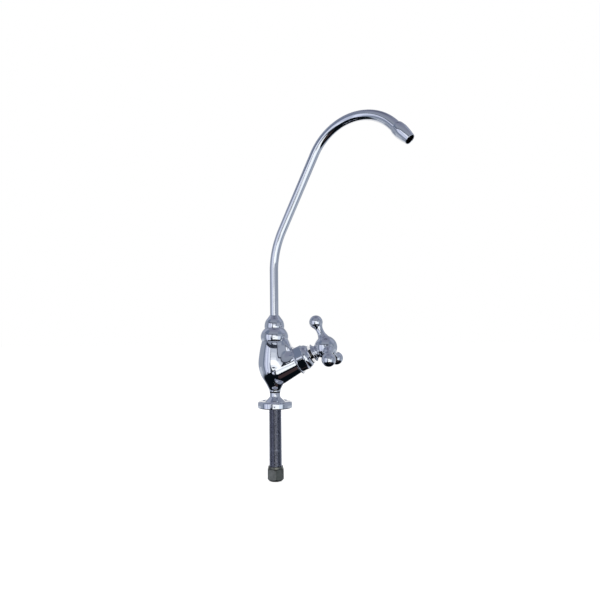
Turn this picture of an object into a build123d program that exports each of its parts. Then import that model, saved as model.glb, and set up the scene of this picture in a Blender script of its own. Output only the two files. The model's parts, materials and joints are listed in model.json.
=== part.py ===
"""Swan neck drinking-water tap, millimetres, +Z up.

The origin is the centre of the flange's underside, on the deck. The valve branch leans
out over +X, the body is symmetric about the XZ plane, and the spout turns about Z.
"""

import os
from math import cos, radians, sin

from build123d import *

# Threaded shank and the compression joint at its foot
shank_radius = 6.0  # 12 mm fine thread
shank_length = 61.2
shank_bore_radius = 3.0
shank_grip = 6.2  # thread inside the flange
relief_depth_down = 38.3  # shallow ring round the shank
relief_width = 0.9
relief_cut = 0.25
tube_socket_radius = 3.25  # takes a 1/4 inch tube
tube_socket_depth = 12.0
thread_clearance = 0.05

nut_flat_to_flat = 15.0
nut_turn = -13.3
nut_hex_length = 9.6
nut_top_down = 56.6
nut_nose_length = 1.6
nut_nose_radius = 6.0
nut_collar_radius = 7.0
nut_collar_width = 1.3
nut_waist_radius = 6.45
nut_waist_width = 1.0
nut_hole_radius = 3.5
nut_floor = 2.4

ferrule_bore_radius = 3.3
ferrule_radius = 4.8
ferrule_end_radius = 3.85
ferrule_length = 4.4

# Flange, neck and black ring
flange_radius = 16.2
flange_rim_height = 6.6
flange_rim_width = 5.3
flange_rim_round = 2.1
flange_dish_height = 5.7
flange_cone_top = 10.4
neck_radius = 4.9
neck_top = 14.2
spigot_radius = 4.0
spigot_length = 9.0
gasket_recess_radius = 7.4
gasket_recess_depth = 0.8
base_ring_radius = 5.05
base_ring_height = 1.4

# Body casting
body_foot_radius = 5.3
body_height = 46.3
belly_radius = 15.3
belly_height = 23.6
shoulder_radius = 12.1
spout_bore_depth = 13.9
inlet_radius = 3.0
outlet_radius = 2.2
outlet_offset = 3.6
crown_thread_radius = 9.2
crown_thread_length = 8.1

# Valve branch, along its own axis from the body's axis
branch_height = 18.6
branch_lean = 24.5
branch_length = 24.3
branch_root_radius = 14.3
branch_root_reach = 4.5
branch_end_radius = 11.5
chamber_start = 5.0
chamber_radius = 8.0
chamber_step = 17.0
mouth_radius = 9.8
web_rise = 2.2  # how far the web climbs beside the collar
web_top_radius = 7.0
web_top_offset = 6.3
web_end_radius = 7.4
web_end_offset = 6.6
web_flank_drop = 3.8  # the web's wider root stands this far under its top
web_flank_radius = 9.8
web_flank_offset = 2.2
web_root_radius = 10.2
web_root_offset = 3.2
web_gap = 0.15

# Crown: the two domes over the body
collar_radius = 13.0
collar_height = 12.3
collar_top_radius = 9.4
collar_reveal = 0.45
collar_opening_radius = 8.0
dome_nut_radius = 9.3
dome_nut_height = 12.2
dome_nut_lip_radius = 4.75

# Swan neck
tube_radius = 4.0
tube_wall = 0.8
spout_turn = -18.6
bend_start = 127.4
bend_radius = 75.0
lean_angle = 29.1
lean_length = 72.7
arch_radius = 45.5
arch_turn = 72.0
flare_turn = 36.2
flare_radius = 4.6
tail_length = 11.5

nozzle_start = 3.6
nozzle_length = 17.6
nozzle_bulge_radius = 5.75
nozzle_bulge_at = 4.6
nozzle_mouth_radius = 4.35
nozzle_bore_radius = 3.75

# Spout foot
bush_radius = 6.22
bush_length = 20.0
bush_flange_radius = 7.5
bush_flange_width = 1.2
thrust_ring_width = 1.2
turning_gap = 0.3
running_clearance = 0.08
spout_ring_count = 2
spout_ring_pitch = 6.0
spout_ring_wire = 0.85

# Cartridge and its inner pieces
seal_width = 1.6
seal_radius = 6.0
disc_radius = 6.4
disc_width = 3.0
disc_gap = 0.1
moving_disc_width = 2.5
skirt_wall = 0.7
skirt_start = 0.6
cartridge_length = 25.0
cartridge_land = 3.2
cartridge_flange_radius = 9.6
cartridge_flange_width = 1.8
cartridge_tube_radius = 7.1
cartridge_ring_wire = 0.72
window_width = 5.0
washer_width = 0.6

stem_radius = 4.5
stem_shoulder_radius = 6.2
stem_shoulder_width = 1.6
stem_tang_width = 2.8
stem_tang_depth = 1.1
spline_radius = 3.85
stem_ring_wire = 0.46
stem_ring_places = (19.0, 24.0)
clip_radius = 5.8
clip_width = 0.8

# Bonnet nut
bonnet_flat_to_flat = 23.0
bonnet_lip_radius = 13.5
bonnet_lip_width = 1.3
bonnet_hex_length = 7.6
bonnet_corner_round = 5.0
bonnet_dome_radius = 10.9
bonnet_dome_length = 4.4
bonnet_end_radius = 8.7
bonnet_ring_width = 0.9

# Handle
handle_gap = 2.2
skirt_ring_radius = 8.4
skirt_ring_width = 1.3
waist_radius = 5.9
waist_length = 2.6
hub_radius = 10.6
hub_length = 23.3
arm_count = 3
arm_reach = 24.7
arm_plane = 14.1
arm_start_reach = 4.0
arm_root_radius = 6.8
arm_shoulder_radius = 5.0
arm_neck_radius = 3.7
arm_waist_radius = 3.35
arm_end_radius = 4.2
knob_radius = 6.3
socket_depth = 10.0
grub_radius = 1.5
grub_place = 2.9

# Worked-out places
body_foot = neck_top + base_ring_height
body_top = body_foot + body_height
collar_foot = body_top + collar_reveal
dome_foot = body_top + collar_height
crown_thread_top = body_top + crown_thread_length
bush_seat = crown_thread_top + thrust_ring_width + turning_gap
bush_foot = bush_seat + bush_flange_width - bush_length
spout_bore_radius = bush_radius + running_clearance
shank_foot = -shank_length
nut_top = -nut_top_down
nut_foot = nut_top - nut_hex_length - nut_nose_length

lean = radians(branch_lean)
branch_point = (0, 0, body_foot + branch_height)
branch_way = (cos(lean), 0, sin(lean))
branch_up = (-sin(lean), 0, cos(lean))
branch_axis = Axis(branch_point, branch_way)
branch_section = Plane(origin=branch_point, x_dir=branch_up, z_dir=(0, 1, 0))
branch_frame = Plane(origin=branch_point, x_dir=branch_up, z_dir=branch_way)

turn = radians(spout_turn)
spout_plane = Plane(origin=(0, 0, 0), x_dir=(cos(turn), sin(turn), 0), z_dir=(sin(turn), -cos(turn), 0))

skirt_foot = chamber_start + skirt_start
disc_start = chamber_start + seal_width
moving_start = disc_start + disc_width + disc_gap
moving_end = moving_start + moving_disc_width
shoulder_start = moving_end + disc_gap
shoulder_end = shoulder_start + stem_shoulder_width
washer_start = shoulder_end + disc_gap
cartridge_shoulder = washer_start + washer_width
cartridge_end = skirt_foot + cartridge_length
stem_bore_radius = stem_radius + running_clearance
bonnet_lip_end = branch_length + bonnet_lip_width
bonnet_hex_end = bonnet_lip_end + bonnet_hex_length
bonnet_dome_end = bonnet_hex_end + bonnet_dome_length
bonnet_end = bonnet_dome_end + bonnet_ring_width
clip_start = cartridge_end + 0.5
handle_back = bonnet_end + handle_gap
hub_front = handle_back + hub_length
arm_start = handle_back + arm_plane
stem_end = handle_back + socket_depth


def outline(*points):
    """Draw a closed straight-sided outline in the sketch being built."""
    Polygon(*points, align=None)


def ring_outline(inner, outer, low, high):
    """Draw the section of a plain ring in the sketch being built."""
    outline((inner, low), (outer, low), (outer, high), (inner, high))


# Threaded shank, drilled through, with a socket for the tube at its foot
with BuildPart() as threaded_shank:
    with BuildSketch(Plane.XZ):
        outline(
            (shank_bore_radius, shank_foot + tube_socket_depth),
            (tube_socket_radius, shank_foot + tube_socket_depth),
            (tube_socket_radius, shank_foot + 0.9),
            (tube_socket_radius + 0.9, shank_foot),
            (shank_radius - 0.5, shank_foot),
            (shank_radius, shank_foot + 0.5),
            (shank_radius, -relief_depth_down - relief_width),
            (shank_radius - relief_cut, -relief_depth_down - relief_width),
            (shank_radius - relief_cut, -relief_depth_down),
            (shank_radius, -relief_depth_down),
            (shank_radius, shank_grip),
            (shank_bore_radius, shank_grip),
        )
    revolve(axis=Axis.Z)
threaded_shank.part.label = "threaded_shank"

# Compression nut: hexagon with a turned collar above it and a chamfered nose
with BuildPart() as compression_nut:
    with BuildSketch(Plane.XY.offset(nut_top)):
        RegularPolygon(nut_flat_to_flat / 2, 6, major_radius=False, rotation=nut_turn)
    extrude(amount=-(nut_hex_length + nut_nose_length))
    with BuildSketch(Plane.XZ):
        outline(
            (0, nut_foot),
            (nut_nose_radius, nut_foot),
            (nut_flat_to_flat / 2 * 1.02, nut_foot + nut_nose_length),
            (nut_flat_to_flat / 2 * 1.16, nut_foot + nut_nose_length + 0.9),
            (nut_flat_to_flat / 2 * 1.16, nut_top - 0.7),
            (nut_flat_to_flat / 2 * 1.02, nut_top),
            (0, nut_top),
        )
    revolve(axis=Axis.Z, mode=Mode.INTERSECT)
    with BuildSketch(Plane.XZ):
        ring_outline(shank_radius, nut_waist_radius, nut_top - 0.5, nut_top + nut_waist_width)
        ring_outline(
            shank_radius,
            nut_collar_radius,
            nut_top + nut_waist_width,
            nut_top + nut_waist_width + nut_collar_width,
        )
    revolve(axis=Axis.Z)
    with BuildSketch(Plane.XZ):
        outline(
            (0, nut_foot),
            (nut_hole_radius, nut_foot),
            (nut_hole_radius, nut_foot + nut_floor),
            (shank_radius + thread_clearance, nut_foot + nut_floor + 2.2),
            (shank_radius + thread_clearance, nut_top + nut_waist_width + nut_collar_width),
            (0, nut_top + nut_waist_width + nut_collar_width),
        )
    revolve(axis=Axis.Z, mode=Mode.SUBTRACT)
compression_nut.part.label = "compression_nut"

# Ferrule: double-coned olive between the nut's cone and the shank's mouth
ferrule_foot = nut_foot + nut_floor + 0.2
with BuildPart() as ferrule:
    with BuildSketch(Plane.XZ):
        outline(
            (ferrule_bore_radius, ferrule_foot),
            (ferrule_end_radius - 0.2, ferrule_foot),
            (ferrule_radius, ferrule_foot + ferrule_length * 0.38),
            (ferrule_radius, ferrule_foot + ferrule_length * 0.45),
            (ferrule_bore_radius + 0.35, ferrule_foot + ferrule_length),
            (ferrule_bore_radius, ferrule_foot + ferrule_length),
        )
    revolve(axis=Axis.Z)
ferrule.part.label = "ferrule"

# Base flange: rounded rim, dished top, cone, neck and the spigot that enters the body
rim_inner = flange_radius - flange_rim_width
with BuildPart() as base_flange:
    with BuildSketch(Plane.XZ):
        with BuildLine():
            Polyline(
                (spigot_radius, neck_top + spigot_length),
                (inlet_radius, neck_top + spigot_length),
                (inlet_radius, shank_grip),
                (shank_radius, shank_grip),
                (shank_radius, gasket_recess_depth),
                (gasket_recess_radius, gasket_recess_depth),
                (gasket_recess_radius, 0),
                (flange_radius - flange_rim_round / 2, 0),
            )
            RadiusArc(
                (flange_radius - flange_rim_round / 2, 0),
                (flange_radius, flange_rim_round / 2),
                -flange_rim_round / 2,
            )
            Line((flange_radius, flange_rim_round / 2), (flange_radius, flange_rim_height - flange_rim_round))
            RadiusArc(
                (flange_radius, flange_rim_height - flange_rim_round),
                (flange_radius - flange_rim_round, flange_rim_height),
                -flange_rim_round,
            )
            Spline(
                (flange_radius - flange_rim_round, flange_rim_height),
                (rim_inner, flange_dish_height),
                tangents=((-1, 0), (-1, -0.35)),
            )
            Polyline(
                (rim_inner, flange_dish_height),
                (neck_radius, flange_cone_top),
                (neck_radius, neck_top),
                (spigot_radius, neck_top),
                (spigot_radius, neck_top + spigot_length),
            )
        make_face()
    revolve(axis=Axis.Z)
base_flange.part.label = "base_flange"

# Black ring squeezed between the neck and the body
with BuildPart() as base_o_ring:
    with BuildSketch(Plane.XZ):
        ring_outline(spigot_radius, base_ring_radius, neck_top, body_foot)
    revolve(axis=Axis.Z)
    fillet(base_o_ring.edges().filter_by(GeomType.CIRCLE).sort_by(SortBy.RADIUS)[-2:], 0.5)
base_o_ring.part.label = "base_o_ring"

# Body casting: bulb, valve branch, web under the crown, threaded crown and the waterways
flank = ((0.23, 0.119), (0.77, 0.32))
with BuildPart() as tap_body:
    with BuildSketch(Plane.XZ):
        with BuildLine():
            Spline(
                (body_foot_radius, body_foot),
                *[
                    (body_foot_radius + (belly_radius - body_foot_radius) * out, body_foot + body_height * up)
                    for out, up in flank
                ],
                (belly_radius, body_foot + belly_height),
                (shoulder_radius + (belly_radius - shoulder_radius) * 0.6, body_foot + body_height * 0.76),
                (shoulder_radius, body_top),
                tangents=((0.12, 1), (-0.33, 1)),
            )
            Polyline(
                (shoulder_radius, body_top),
                (crown_thread_radius, body_top),
                (crown_thread_radius, crown_thread_top),
                (0, crown_thread_top),
                (0, body_foot),
                (body_foot_radius, body_foot),
            )
        make_face()
    revolve(axis=Axis.Z)
    with BuildSketch(branch_section):
        with BuildLine():
            Polyline(
                (0, branch_length),
                (0, 0),
                (branch_root_radius - 1.2, 0),
            )
            ThreePointArc(
                (branch_root_radius - 1.2, 0),
                (branch_root_radius - 0.25, branch_root_reach / 2),
                (branch_root_radius, branch_root_reach),
            )
            Polyline(
                (branch_root_radius, branch_root_reach),
                (branch_end_radius, branch_length),
                (0, branch_length),
            )
        make_face()
    revolve(axis=branch_axis)
    with BuildSketch(Plane.XY.offset(body_top + web_rise - web_flank_drop)):
        with Locations((web_flank_offset, 0)):
            Circle(web_flank_radius)
    with BuildSketch(branch_frame.offset(branch_length)):
        with Locations((web_root_offset, 0)):
            Circle(web_root_radius)
    loft()
    with BuildSketch(Plane.XY.offset(body_top + web_rise)):
        with Locations((web_top_offset, 0)):
            Circle(web_top_radius)
    with BuildSketch(branch_frame.offset(branch_length)):
        with Locations((web_end_offset, 0)):
            Circle(web_end_radius)
    loft()
    with BuildSketch(Plane.XZ):
        outline(
            (crown_thread_radius, body_top),
            (shoulder_radius + web_gap, body_top),
            (shoulder_radius + web_gap, collar_foot),
            (collar_radius - 0.35 + web_gap, body_top + web_rise),
            (collar_radius + web_gap, collar_foot + collar_height * 0.37),
            (crown_thread_radius, collar_foot + collar_height * 0.37),
        )
    revolve(axis=Axis.Z, mode=Mode.SUBTRACT)
    with BuildSketch(Plane.XZ):
        outline(
            (0, body_foot),
            (spigot_radius, body_foot),
            (spigot_radius, neck_top + spigot_length),
            (inlet_radius, neck_top + spigot_length),
            (inlet_radius, body_foot + branch_height),
            (0, body_foot + branch_height),
        )
        ring_outline(0, spout_bore_radius, body_top - spout_bore_depth, crown_thread_top)
    revolve(axis=Axis.Z, mode=Mode.SUBTRACT)
    with BuildSketch(branch_section):
        ring_outline(0, inlet_radius, 0, chamber_start)
        ring_outline(0, chamber_radius, chamber_start, chamber_step)
        ring_outline(0, mouth_radius, chamber_step, branch_length)
    revolve(axis=branch_axis, mode=Mode.SUBTRACT)
    with BuildSketch(Plane.XY.offset(body_top - spout_bore_depth)):
        with Locations((outlet_offset, 0)):
            Circle(outlet_radius)
    extrude(amount=-5.0, mode=Mode.SUBTRACT)
tap_body.part.label = "tap_body"

# Crown collar: the lower dome, screwed on the body
with BuildPart() as crown_collar:
    with BuildSketch(Plane.XZ):
        with BuildLine():
            Spline(
                (shoulder_radius - 0.1, collar_foot),
                (collar_radius, collar_foot + collar_height * 0.37),
                (collar_radius * 0.955, collar_foot + collar_height * 0.6),
                (collar_top_radius, dome_foot),
                tangents=((0.45, 1), (-0.95, 0.85)),
            )
            Polyline(
                (collar_top_radius, dome_foot),
                (collar_opening_radius, dome_foot),
                (collar_opening_radius, crown_thread_top + thrust_ring_width),
                (crown_thread_radius, crown_thread_top + thrust_ring_width),
                (crown_thread_radius, collar_foot),
                (shoulder_radius - 0.1, collar_foot),
            )
        make_face()
    revolve(axis=Axis.Z)
crown_collar.part.label = "crown_collar"

# Spout nut: the upper dome that keeps the spout down
skirt_low = bush_seat + bush_flange_width + turning_gap
with BuildPart() as spout_nut:
    with BuildSketch(Plane.XZ):
        with BuildLine():
            Line((dome_nut_radius - 0.35, dome_foot), (dome_nut_radius, dome_foot + 0.7))
            Spline(
                (dome_nut_radius, dome_foot + 0.7),
                (dome_nut_radius * 0.995, dome_foot + dome_nut_height * 0.27),
                (dome_nut_radius * 0.88, dome_foot + dome_nut_height * 0.6),
                (dome_nut_radius * 0.66, dome_foot + dome_nut_height * 0.83),
                (dome_nut_lip_radius, dome_foot + dome_nut_height),
                tangents=((0.05, 1), (-0.12, 1)),
            )
            Polyline(
                (dome_nut_lip_radius, dome_foot + dome_nut_height),
                (tube_radius + running_clearance, dome_foot + dome_nut_height),
                (tube_radius + running_clearance, skirt_low),
                (collar_opening_radius, skirt_low),
                (collar_opening_radius, dome_foot),
                (dome_nut_radius - 0.35, dome_foot),
            )
        make_face()
    revolve(axis=Axis.Z)
spout_nut.part.label = "spout_nut"

# Thrust ring that the spout's foot turns on
with BuildPart() as spout_thrust_ring:
    with BuildSketch(Plane.XZ):
        ring_outline(
            spout_bore_radius + 0.1,
            crown_thread_radius - 0.4,
            crown_thread_top,
            crown_thread_top + thrust_ring_width,
        )
    revolve(axis=Axis.Z)
spout_thrust_ring.part.label = "spout_thrust_ring"

# Spout foot: brass sleeve brazed on the tube, with two seal grooves
spout_ring_heights = [bush_foot + 3.0 + spout_ring_pitch * n for n in range(spout_ring_count)]
spout_ring_centre = spout_bore_radius - spout_ring_wire - 0.02
with BuildPart() as spout_end_bush:
    with BuildSketch(Plane.XZ):
        outline(
            (tube_radius - tube_wall, bush_foot),
            (bush_radius - 0.6, bush_foot),
            (bush_radius, bush_foot + 0.6),
            (bush_radius, bush_seat),
            (bush_flange_radius, bush_seat),
            (bush_flange_radius, bush_seat + bush_flange_width),
            (tube_radius, bush_seat + bush_flange_width),
            (tube_radius, bush_foot + 1.6),
            (tube_radius - tube_wall, bush_foot + 1.6),
        )
    revolve(axis=Axis.Z)
    with BuildSketch(Plane.XZ):
        for height in spout_ring_heights:
            ring_outline(
                spout_ring_centre - spout_ring_wire,
                spout_bore_radius + 1,
                height - spout_ring_wire - 0.1,
                height + spout_ring_wire + 0.1,
            )
    revolve(axis=Axis.Z, mode=Mode.SUBTRACT)
spout_end_bush.part.label = "spout_end_bush"

# Seal rings on the spout's foot
with BuildPart() as spout_o_rings:
    with BuildSketch(Plane.XZ):
        with Locations(*[(spout_ring_centre, height) for height in spout_ring_heights]):
            Circle(spout_ring_wire)
    revolve(axis=Axis.Z)
spout_o_rings.part.label = "spout_o_rings"

# Swan neck: straight rise, slow bend, leaning run, arch, and an opened-out end
with BuildLine(spout_plane) as neck_path:
    rise = Line((0, bush_foot + 1.6), (0, bend_start))
    bend = JernArc(start=rise @ 1, tangent=rise % 1, radius=bend_radius, arc_size=-lean_angle)
    lean_run = PolarLine(start=bend @ 1, length=lean_length, direction=bend % 1)
    arch = JernArc(start=lean_run @ 1, tangent=lean_run % 1, radius=arch_radius, arc_size=-arch_turn)
with BuildLine(spout_plane) as flare_path:
    flare = JernArc(start=arch @ 1, tangent=arch % 1, radius=arch_radius, arc_size=-flare_turn)
tail_point = flare @ 1
tail_way = flare % 1
tail_plane = Plane(origin=tail_point, z_dir=tail_way)
flare_start_plane = Plane(origin=flare @ 0, z_dir=flare % 0)
with BuildPart() as spout_tube:
    with BuildSketch(Plane(origin=rise @ 0, z_dir=rise % 0)):
        Circle(tube_radius)
        Circle(tube_radius - tube_wall, mode=Mode.SUBTRACT)
    sweep(path=neck_path.wire())
    for growth, way in ((0, Mode.ADD), (tube_wall, Mode.SUBTRACT)):
        with BuildSketch(flare_start_plane):
            Circle(tube_radius - growth)
        with BuildSketch(tail_plane):
            Circle(flare_radius - growth)
        sweep(path=flare_path.wire(), multisection=True, mode=way)
    with BuildSketch(tail_plane):
        Circle(flare_radius)
        Circle(flare_radius - tube_wall, mode=Mode.SUBTRACT)
    extrude(amount=tail_length)
spout_tube.part.label = "spout_tube"

# Nozzle: bulged cone pushed over the end of the tube
nozzle_low = tail_length
nozzle_end = nozzle_start + nozzle_length
tail_up = tail_plane.x_dir
nozzle_section = Plane(origin=tail_point, x_dir=tail_up, z_dir=tail_up.cross(tail_way))
with BuildPart() as spout_nozzle:
    with BuildSketch(nozzle_section):
        with BuildLine():
            Spline(
                (flare_radius + 0.1, nozzle_start),
                (nozzle_bulge_radius, nozzle_start + nozzle_bulge_at),
                ((nozzle_bulge_radius + nozzle_mouth_radius) / 2 + 0.25, nozzle_start + nozzle_length * 0.66),
                (nozzle_mouth_radius, nozzle_end - 0.3),
                tangents=((0.9, 1), (-0.16, 1)),
            )
            Polyline(
                (nozzle_mouth_radius, nozzle_end - 0.3),
                (nozzle_mouth_radius - 0.2, nozzle_end),
                (nozzle_bore_radius + 0.15, nozzle_end),
                (nozzle_bore_radius, nozzle_end - 0.4),
                (nozzle_bore_radius, nozzle_low),
                (flare_radius, nozzle_low),
                (flare_radius, nozzle_start),
                (flare_radius + 0.1, nozzle_start),
            )
        make_face()
    revolve(axis=Axis(tail_point, tail_way))
spout_nozzle.part.label = "spout_nozzle"

# Seat seal at the bottom of the valve chamber
with BuildPart() as seat_seal:
    with BuildSketch(branch_section):
        ring_outline(inlet_radius, seal_radius, chamber_start, disc_start)
    revolve(axis=branch_axis)
seat_seal.part.label = "seat_seal"

# Ceramic discs: each with two quarter openings, the moving one slotted for the stem
with BuildPart() as fixed_disc:
    with BuildSketch(branch_frame.offset(disc_start)):
        Circle(disc_radius)
        with PolarLocations(disc_radius * 0.48, 2):
            Circle(disc_radius * 0.3, mode=Mode.SUBTRACT)
    extrude(amount=disc_width)
fixed_disc.part.label = "fixed_disc"

with BuildPart() as moving_disc:
    with BuildSketch(branch_frame.offset(moving_start)):
        Circle(disc_radius - 0.1)
        with PolarLocations(disc_radius * 0.48, 2, start_angle=90):
            Circle(disc_radius * 0.3, mode=Mode.SUBTRACT)
    extrude(amount=moving_disc_width)
    with BuildSketch(branch_frame.offset(moving_end)):
        Rectangle(stem_tang_width, disc_radius * 3)
    extrude(amount=-stem_tang_depth, mode=Mode.SUBTRACT)
moving_disc.part.label = "moving_disc"

# Cartridge body: skirt round the discs, two windows, flange, and the tube that guides the stem
skirt_inner = disc_radius + 0.1
skirt_outer = skirt_inner + skirt_wall
land_radius = chamber_radius - 0.05
cartridge_ring_place = chamber_step - cartridge_land / 2
cartridge_ring_centre = land_radius + 0.03 - cartridge_ring_wire
with BuildPart() as cartridge_body:
    with BuildSketch(branch_section):
        outline(
            (skirt_inner, skirt_foot),
            (skirt_outer, skirt_foot),
            (skirt_outer, chamber_step - cartridge_land),
            (land_radius, chamber_step - cartridge_land),
            (land_radius, chamber_step),
            (cartridge_flange_radius, chamber_step),
            (cartridge_flange_radius, chamber_step + cartridge_flange_width),
            (cartridge_tube_radius, chamber_step + cartridge_flange_width),
            (cartridge_tube_radius, cartridge_end),
            (stem_bore_radius, cartridge_end),
            (stem_bore_radius, cartridge_shoulder),
            (skirt_inner, cartridge_shoulder),
        )
    revolve(axis=branch_axis)
    with BuildSketch(branch_section):
        ring_outline(
            cartridge_ring_centre - cartridge_ring_wire,
            land_radius + 1,
            cartridge_ring_place - cartridge_ring_wire - 0.1,
            cartridge_ring_place + cartridge_ring_wire + 0.1,
        )
    revolve(axis=branch_axis, mode=Mode.SUBTRACT)
    with BuildSketch(branch_frame.offset(moving_end - 1.5)):
        Rectangle(window_width, chamber_radius * 3)
    extrude(amount=3.0, mode=Mode.SUBTRACT)
cartridge_body.part.label = "cartridge_body"

with BuildPart() as cartridge_o_ring:
    with BuildSketch(branch_section):
        with Locations((cartridge_ring_centre, cartridge_ring_place)):
            Circle(cartridge_ring_wire)
    revolve(axis=branch_axis)
cartridge_o_ring.part.label = "cartridge_o_ring"

with BuildPart() as stem_washer:
    with BuildSketch(branch_section):
        ring_outline(
            stem_bore_radius + 0.05, stem_shoulder_radius, washer_start, washer_start + washer_width
        )
    revolve(axis=branch_axis)
stem_washer.part.label = "stem_washer"

# Stem: tang, shoulder, two seal grooves, clip groove and the end that carries the handle
clip_groove_radius = stem_radius - 0.6
stem_ring_centre = stem_radius + 0.03 - stem_ring_wire
with BuildPart() as stem:
    with BuildSketch(branch_section):
        outline(
            (0, shoulder_start),
            (stem_shoulder_radius, shoulder_start),
            (stem_shoulder_radius, shoulder_end),
            (stem_radius, shoulder_end),
            (stem_radius, handle_back - 0.6),
            (spline_radius, handle_back),
            (spline_radius, stem_end - 0.5),
            (spline_radius - 0.5, stem_end),
            (0, stem_end),
        )
    revolve(axis=branch_axis)
    with BuildSketch(branch_frame.offset(shoulder_start)):
        Rectangle(stem_tang_width, disc_radius * 1.7)
    extrude(amount=-(stem_tang_depth + disc_gap))
    with BuildSketch(branch_section):
        for place in stem_ring_places:
            ring_outline(
                stem_ring_centre - stem_ring_wire,
                stem_radius + 1,
                place - stem_ring_wire - 0.15,
                place + stem_ring_wire + 0.15,
            )
        ring_outline(clip_groove_radius, stem_radius + 1, clip_start, clip_start + clip_width)
    revolve(axis=branch_axis, mode=Mode.SUBTRACT)
stem.part.label = "stem"

with BuildPart() as stem_o_rings:
    with BuildSketch(branch_section):
        with Locations(*[(stem_ring_centre, place) for place in stem_ring_places]):
            Circle(stem_ring_wire)
    revolve(axis=branch_axis)
stem_o_rings.part.label = "stem_o_rings"

with BuildPart() as stem_clip:
    with BuildSketch(branch_frame.offset(clip_start)):
        Circle(clip_radius)
        Circle(clip_groove_radius, mode=Mode.SUBTRACT)
        with Locations((-clip_radius, 0)):
            Rectangle(clip_radius, 2.4, mode=Mode.SUBTRACT)
    extrude(amount=clip_width)
stem_clip.part.label = "stem_clip"

# Bonnet nut: thread in the branch, thin lip, hexagon with chamfered ends, dome and end ring
hex_corner = (bonnet_flat_to_flat / 2 - bonnet_corner_round) / cos(radians(30)) + bonnet_corner_round
with BuildPart() as bonnet_nut:
    with BuildSketch(branch_frame.offset(bonnet_lip_end)):
        hexagon = RegularPolygon(bonnet_flat_to_flat / 2, 6, major_radius=False, rotation=30)
        fillet(hexagon.vertices(), bonnet_corner_round)
    extrude(amount=bonnet_hex_length)
    with BuildSketch(branch_section):
        outline(
            (0, bonnet_lip_end),
            (hex_corner - 0.9, bonnet_lip_end),
            (hex_corner, bonnet_lip_end + 0.8),
            (hex_corner, bonnet_hex_end - 1.1),
            (hex_corner - 1.5, bonnet_hex_end),
            (0, bonnet_hex_end),
        )
    revolve(axis=branch_axis, mode=Mode.INTERSECT)
    with BuildSketch(branch_section):
        with BuildLine():
            Line((0, bonnet_hex_end - 0.01), (bonnet_dome_radius, bonnet_hex_end - 0.01))
            Spline(
                (bonnet_dome_radius, bonnet_hex_end - 0.01),
                (bonnet_end_radius - 0.4, bonnet_dome_end),
                tangents=((0.1, 1), (-0.9, 0.6)),
            )
            Polyline(
                (bonnet_end_radius - 0.4, bonnet_dome_end),
                (bonnet_end_radius, bonnet_dome_end),
                (bonnet_end_radius, bonnet_end),
                (0, bonnet_end),
                (0, bonnet_hex_end - 0.01),
            )
        make_face()
        outline(
            (0, chamber_step + cartridge_flange_width),
            (mouth_radius, chamber_step + cartridge_flange_width),
            (mouth_radius, branch_length),
            (bonnet_lip_radius - 0.3, branch_length),
            (bonnet_lip_radius, branch_length + 0.3),
            (bonnet_lip_radius, bonnet_lip_end - 0.3),
            (bonnet_lip_radius - 0.3, bonnet_lip_end),
            (0, bonnet_lip_end),
        )
    revolve(axis=branch_axis)
    with BuildSketch(branch_section):
        ring_outline(
            0,
            cartridge_tube_radius + 0.1,
            chamber_step + cartridge_flange_width,
            clip_start + clip_width + turning_gap,
        )
        ring_outline(0, stem_bore_radius, branch_length, bonnet_end)
    revolve(axis=branch_axis, mode=Mode.SUBTRACT)
bonnet_nut.part.label = "bonnet_nut"

# Handle: turned hub with three arms that swell into ball knobs, one casting
handle_origin = Vector(*branch_point) + Vector(*branch_way) * arm_start
handle_frame = Plane(origin=handle_origin, x_dir=branch_up, z_dir=branch_way)
hub_centre = hub_front - hub_radius
arm_end = arm_reach - knob_radius * 0.86
arm_profile = [
    (arm_root_radius, arm_start_reach),
    (arm_shoulder_radius, hub_radius - 1.4),
    (arm_neck_radius, hub_radius + 2.0),
    (arm_waist_radius, hub_radius + 4.8),
    (arm_end_radius, arm_end),
]


def hub_point(degrees):
    """A place on the hub's ball, counted from its front round to its back."""
    swing = radians(degrees)
    return (hub_radius * sin(swing), hub_centre + hub_radius * cos(swing))


with BuildPart() as handle:
    with BuildSketch(branch_section):
        with BuildLine():
            Polyline(
                (0, handle_back),
                (skirt_ring_radius - 0.3, handle_back),
                (skirt_ring_radius, handle_back + 0.3),
                (skirt_ring_radius, handle_back + skirt_ring_width - 0.3),
                (skirt_ring_radius - 0.5, handle_back + skirt_ring_width),
            )
            Spline(
                (skirt_ring_radius - 0.5, handle_back + skirt_ring_width),
                (waist_radius, handle_back + skirt_ring_width + waist_length / 2),
                hub_point(135),
                tangents=((-1, 0.3), (1, 1)),
            )
            ThreePointArc(hub_point(135), hub_point(70), (0, hub_front))
            Line((0, hub_front), (0, handle_back))
        make_face()
    revolve(axis=branch_axis)
    for spoke in PolarLocations(0, arm_count).local_locations:
        arm_section = Plane(handle_frame.location * spoke)
        arm_plane_turned = Plane(
            origin=arm_section.origin, x_dir=arm_section.z_dir, z_dir=arm_section.y_dir
        )
        with BuildSketch(arm_plane_turned):
            with BuildLine():
                Spline(*arm_profile)
                Line(arm_profile[-1], (0, arm_end))
                Line((0, arm_end), (0, arm_start_reach))
                Line((0, arm_start_reach), arm_profile[0])
            make_face()
        revolve(axis=Axis(arm_section.origin, arm_section.x_dir))
        with Locations(arm_section.origin + arm_section.x_dir * arm_reach):
            Sphere(knob_radius)
    with BuildSketch(branch_section):
        ring_outline(0, spline_radius, handle_back, stem_end + 0.3)
    revolve(axis=branch_axis, mode=Mode.SUBTRACT)
    grub_origin = Vector(*branch_point) + Vector(*branch_way) * (handle_back + grub_place)
    grub_plane = Plane(origin=grub_origin, x_dir=branch_way, z_dir=-Vector(*branch_up))
    with BuildSketch(grub_plane.offset(spline_radius - 0.5)):
        Circle(grub_radius)
    extrude(amount=skirt_ring_radius, mode=Mode.SUBTRACT)
handle.part.label = "handle"

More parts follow.
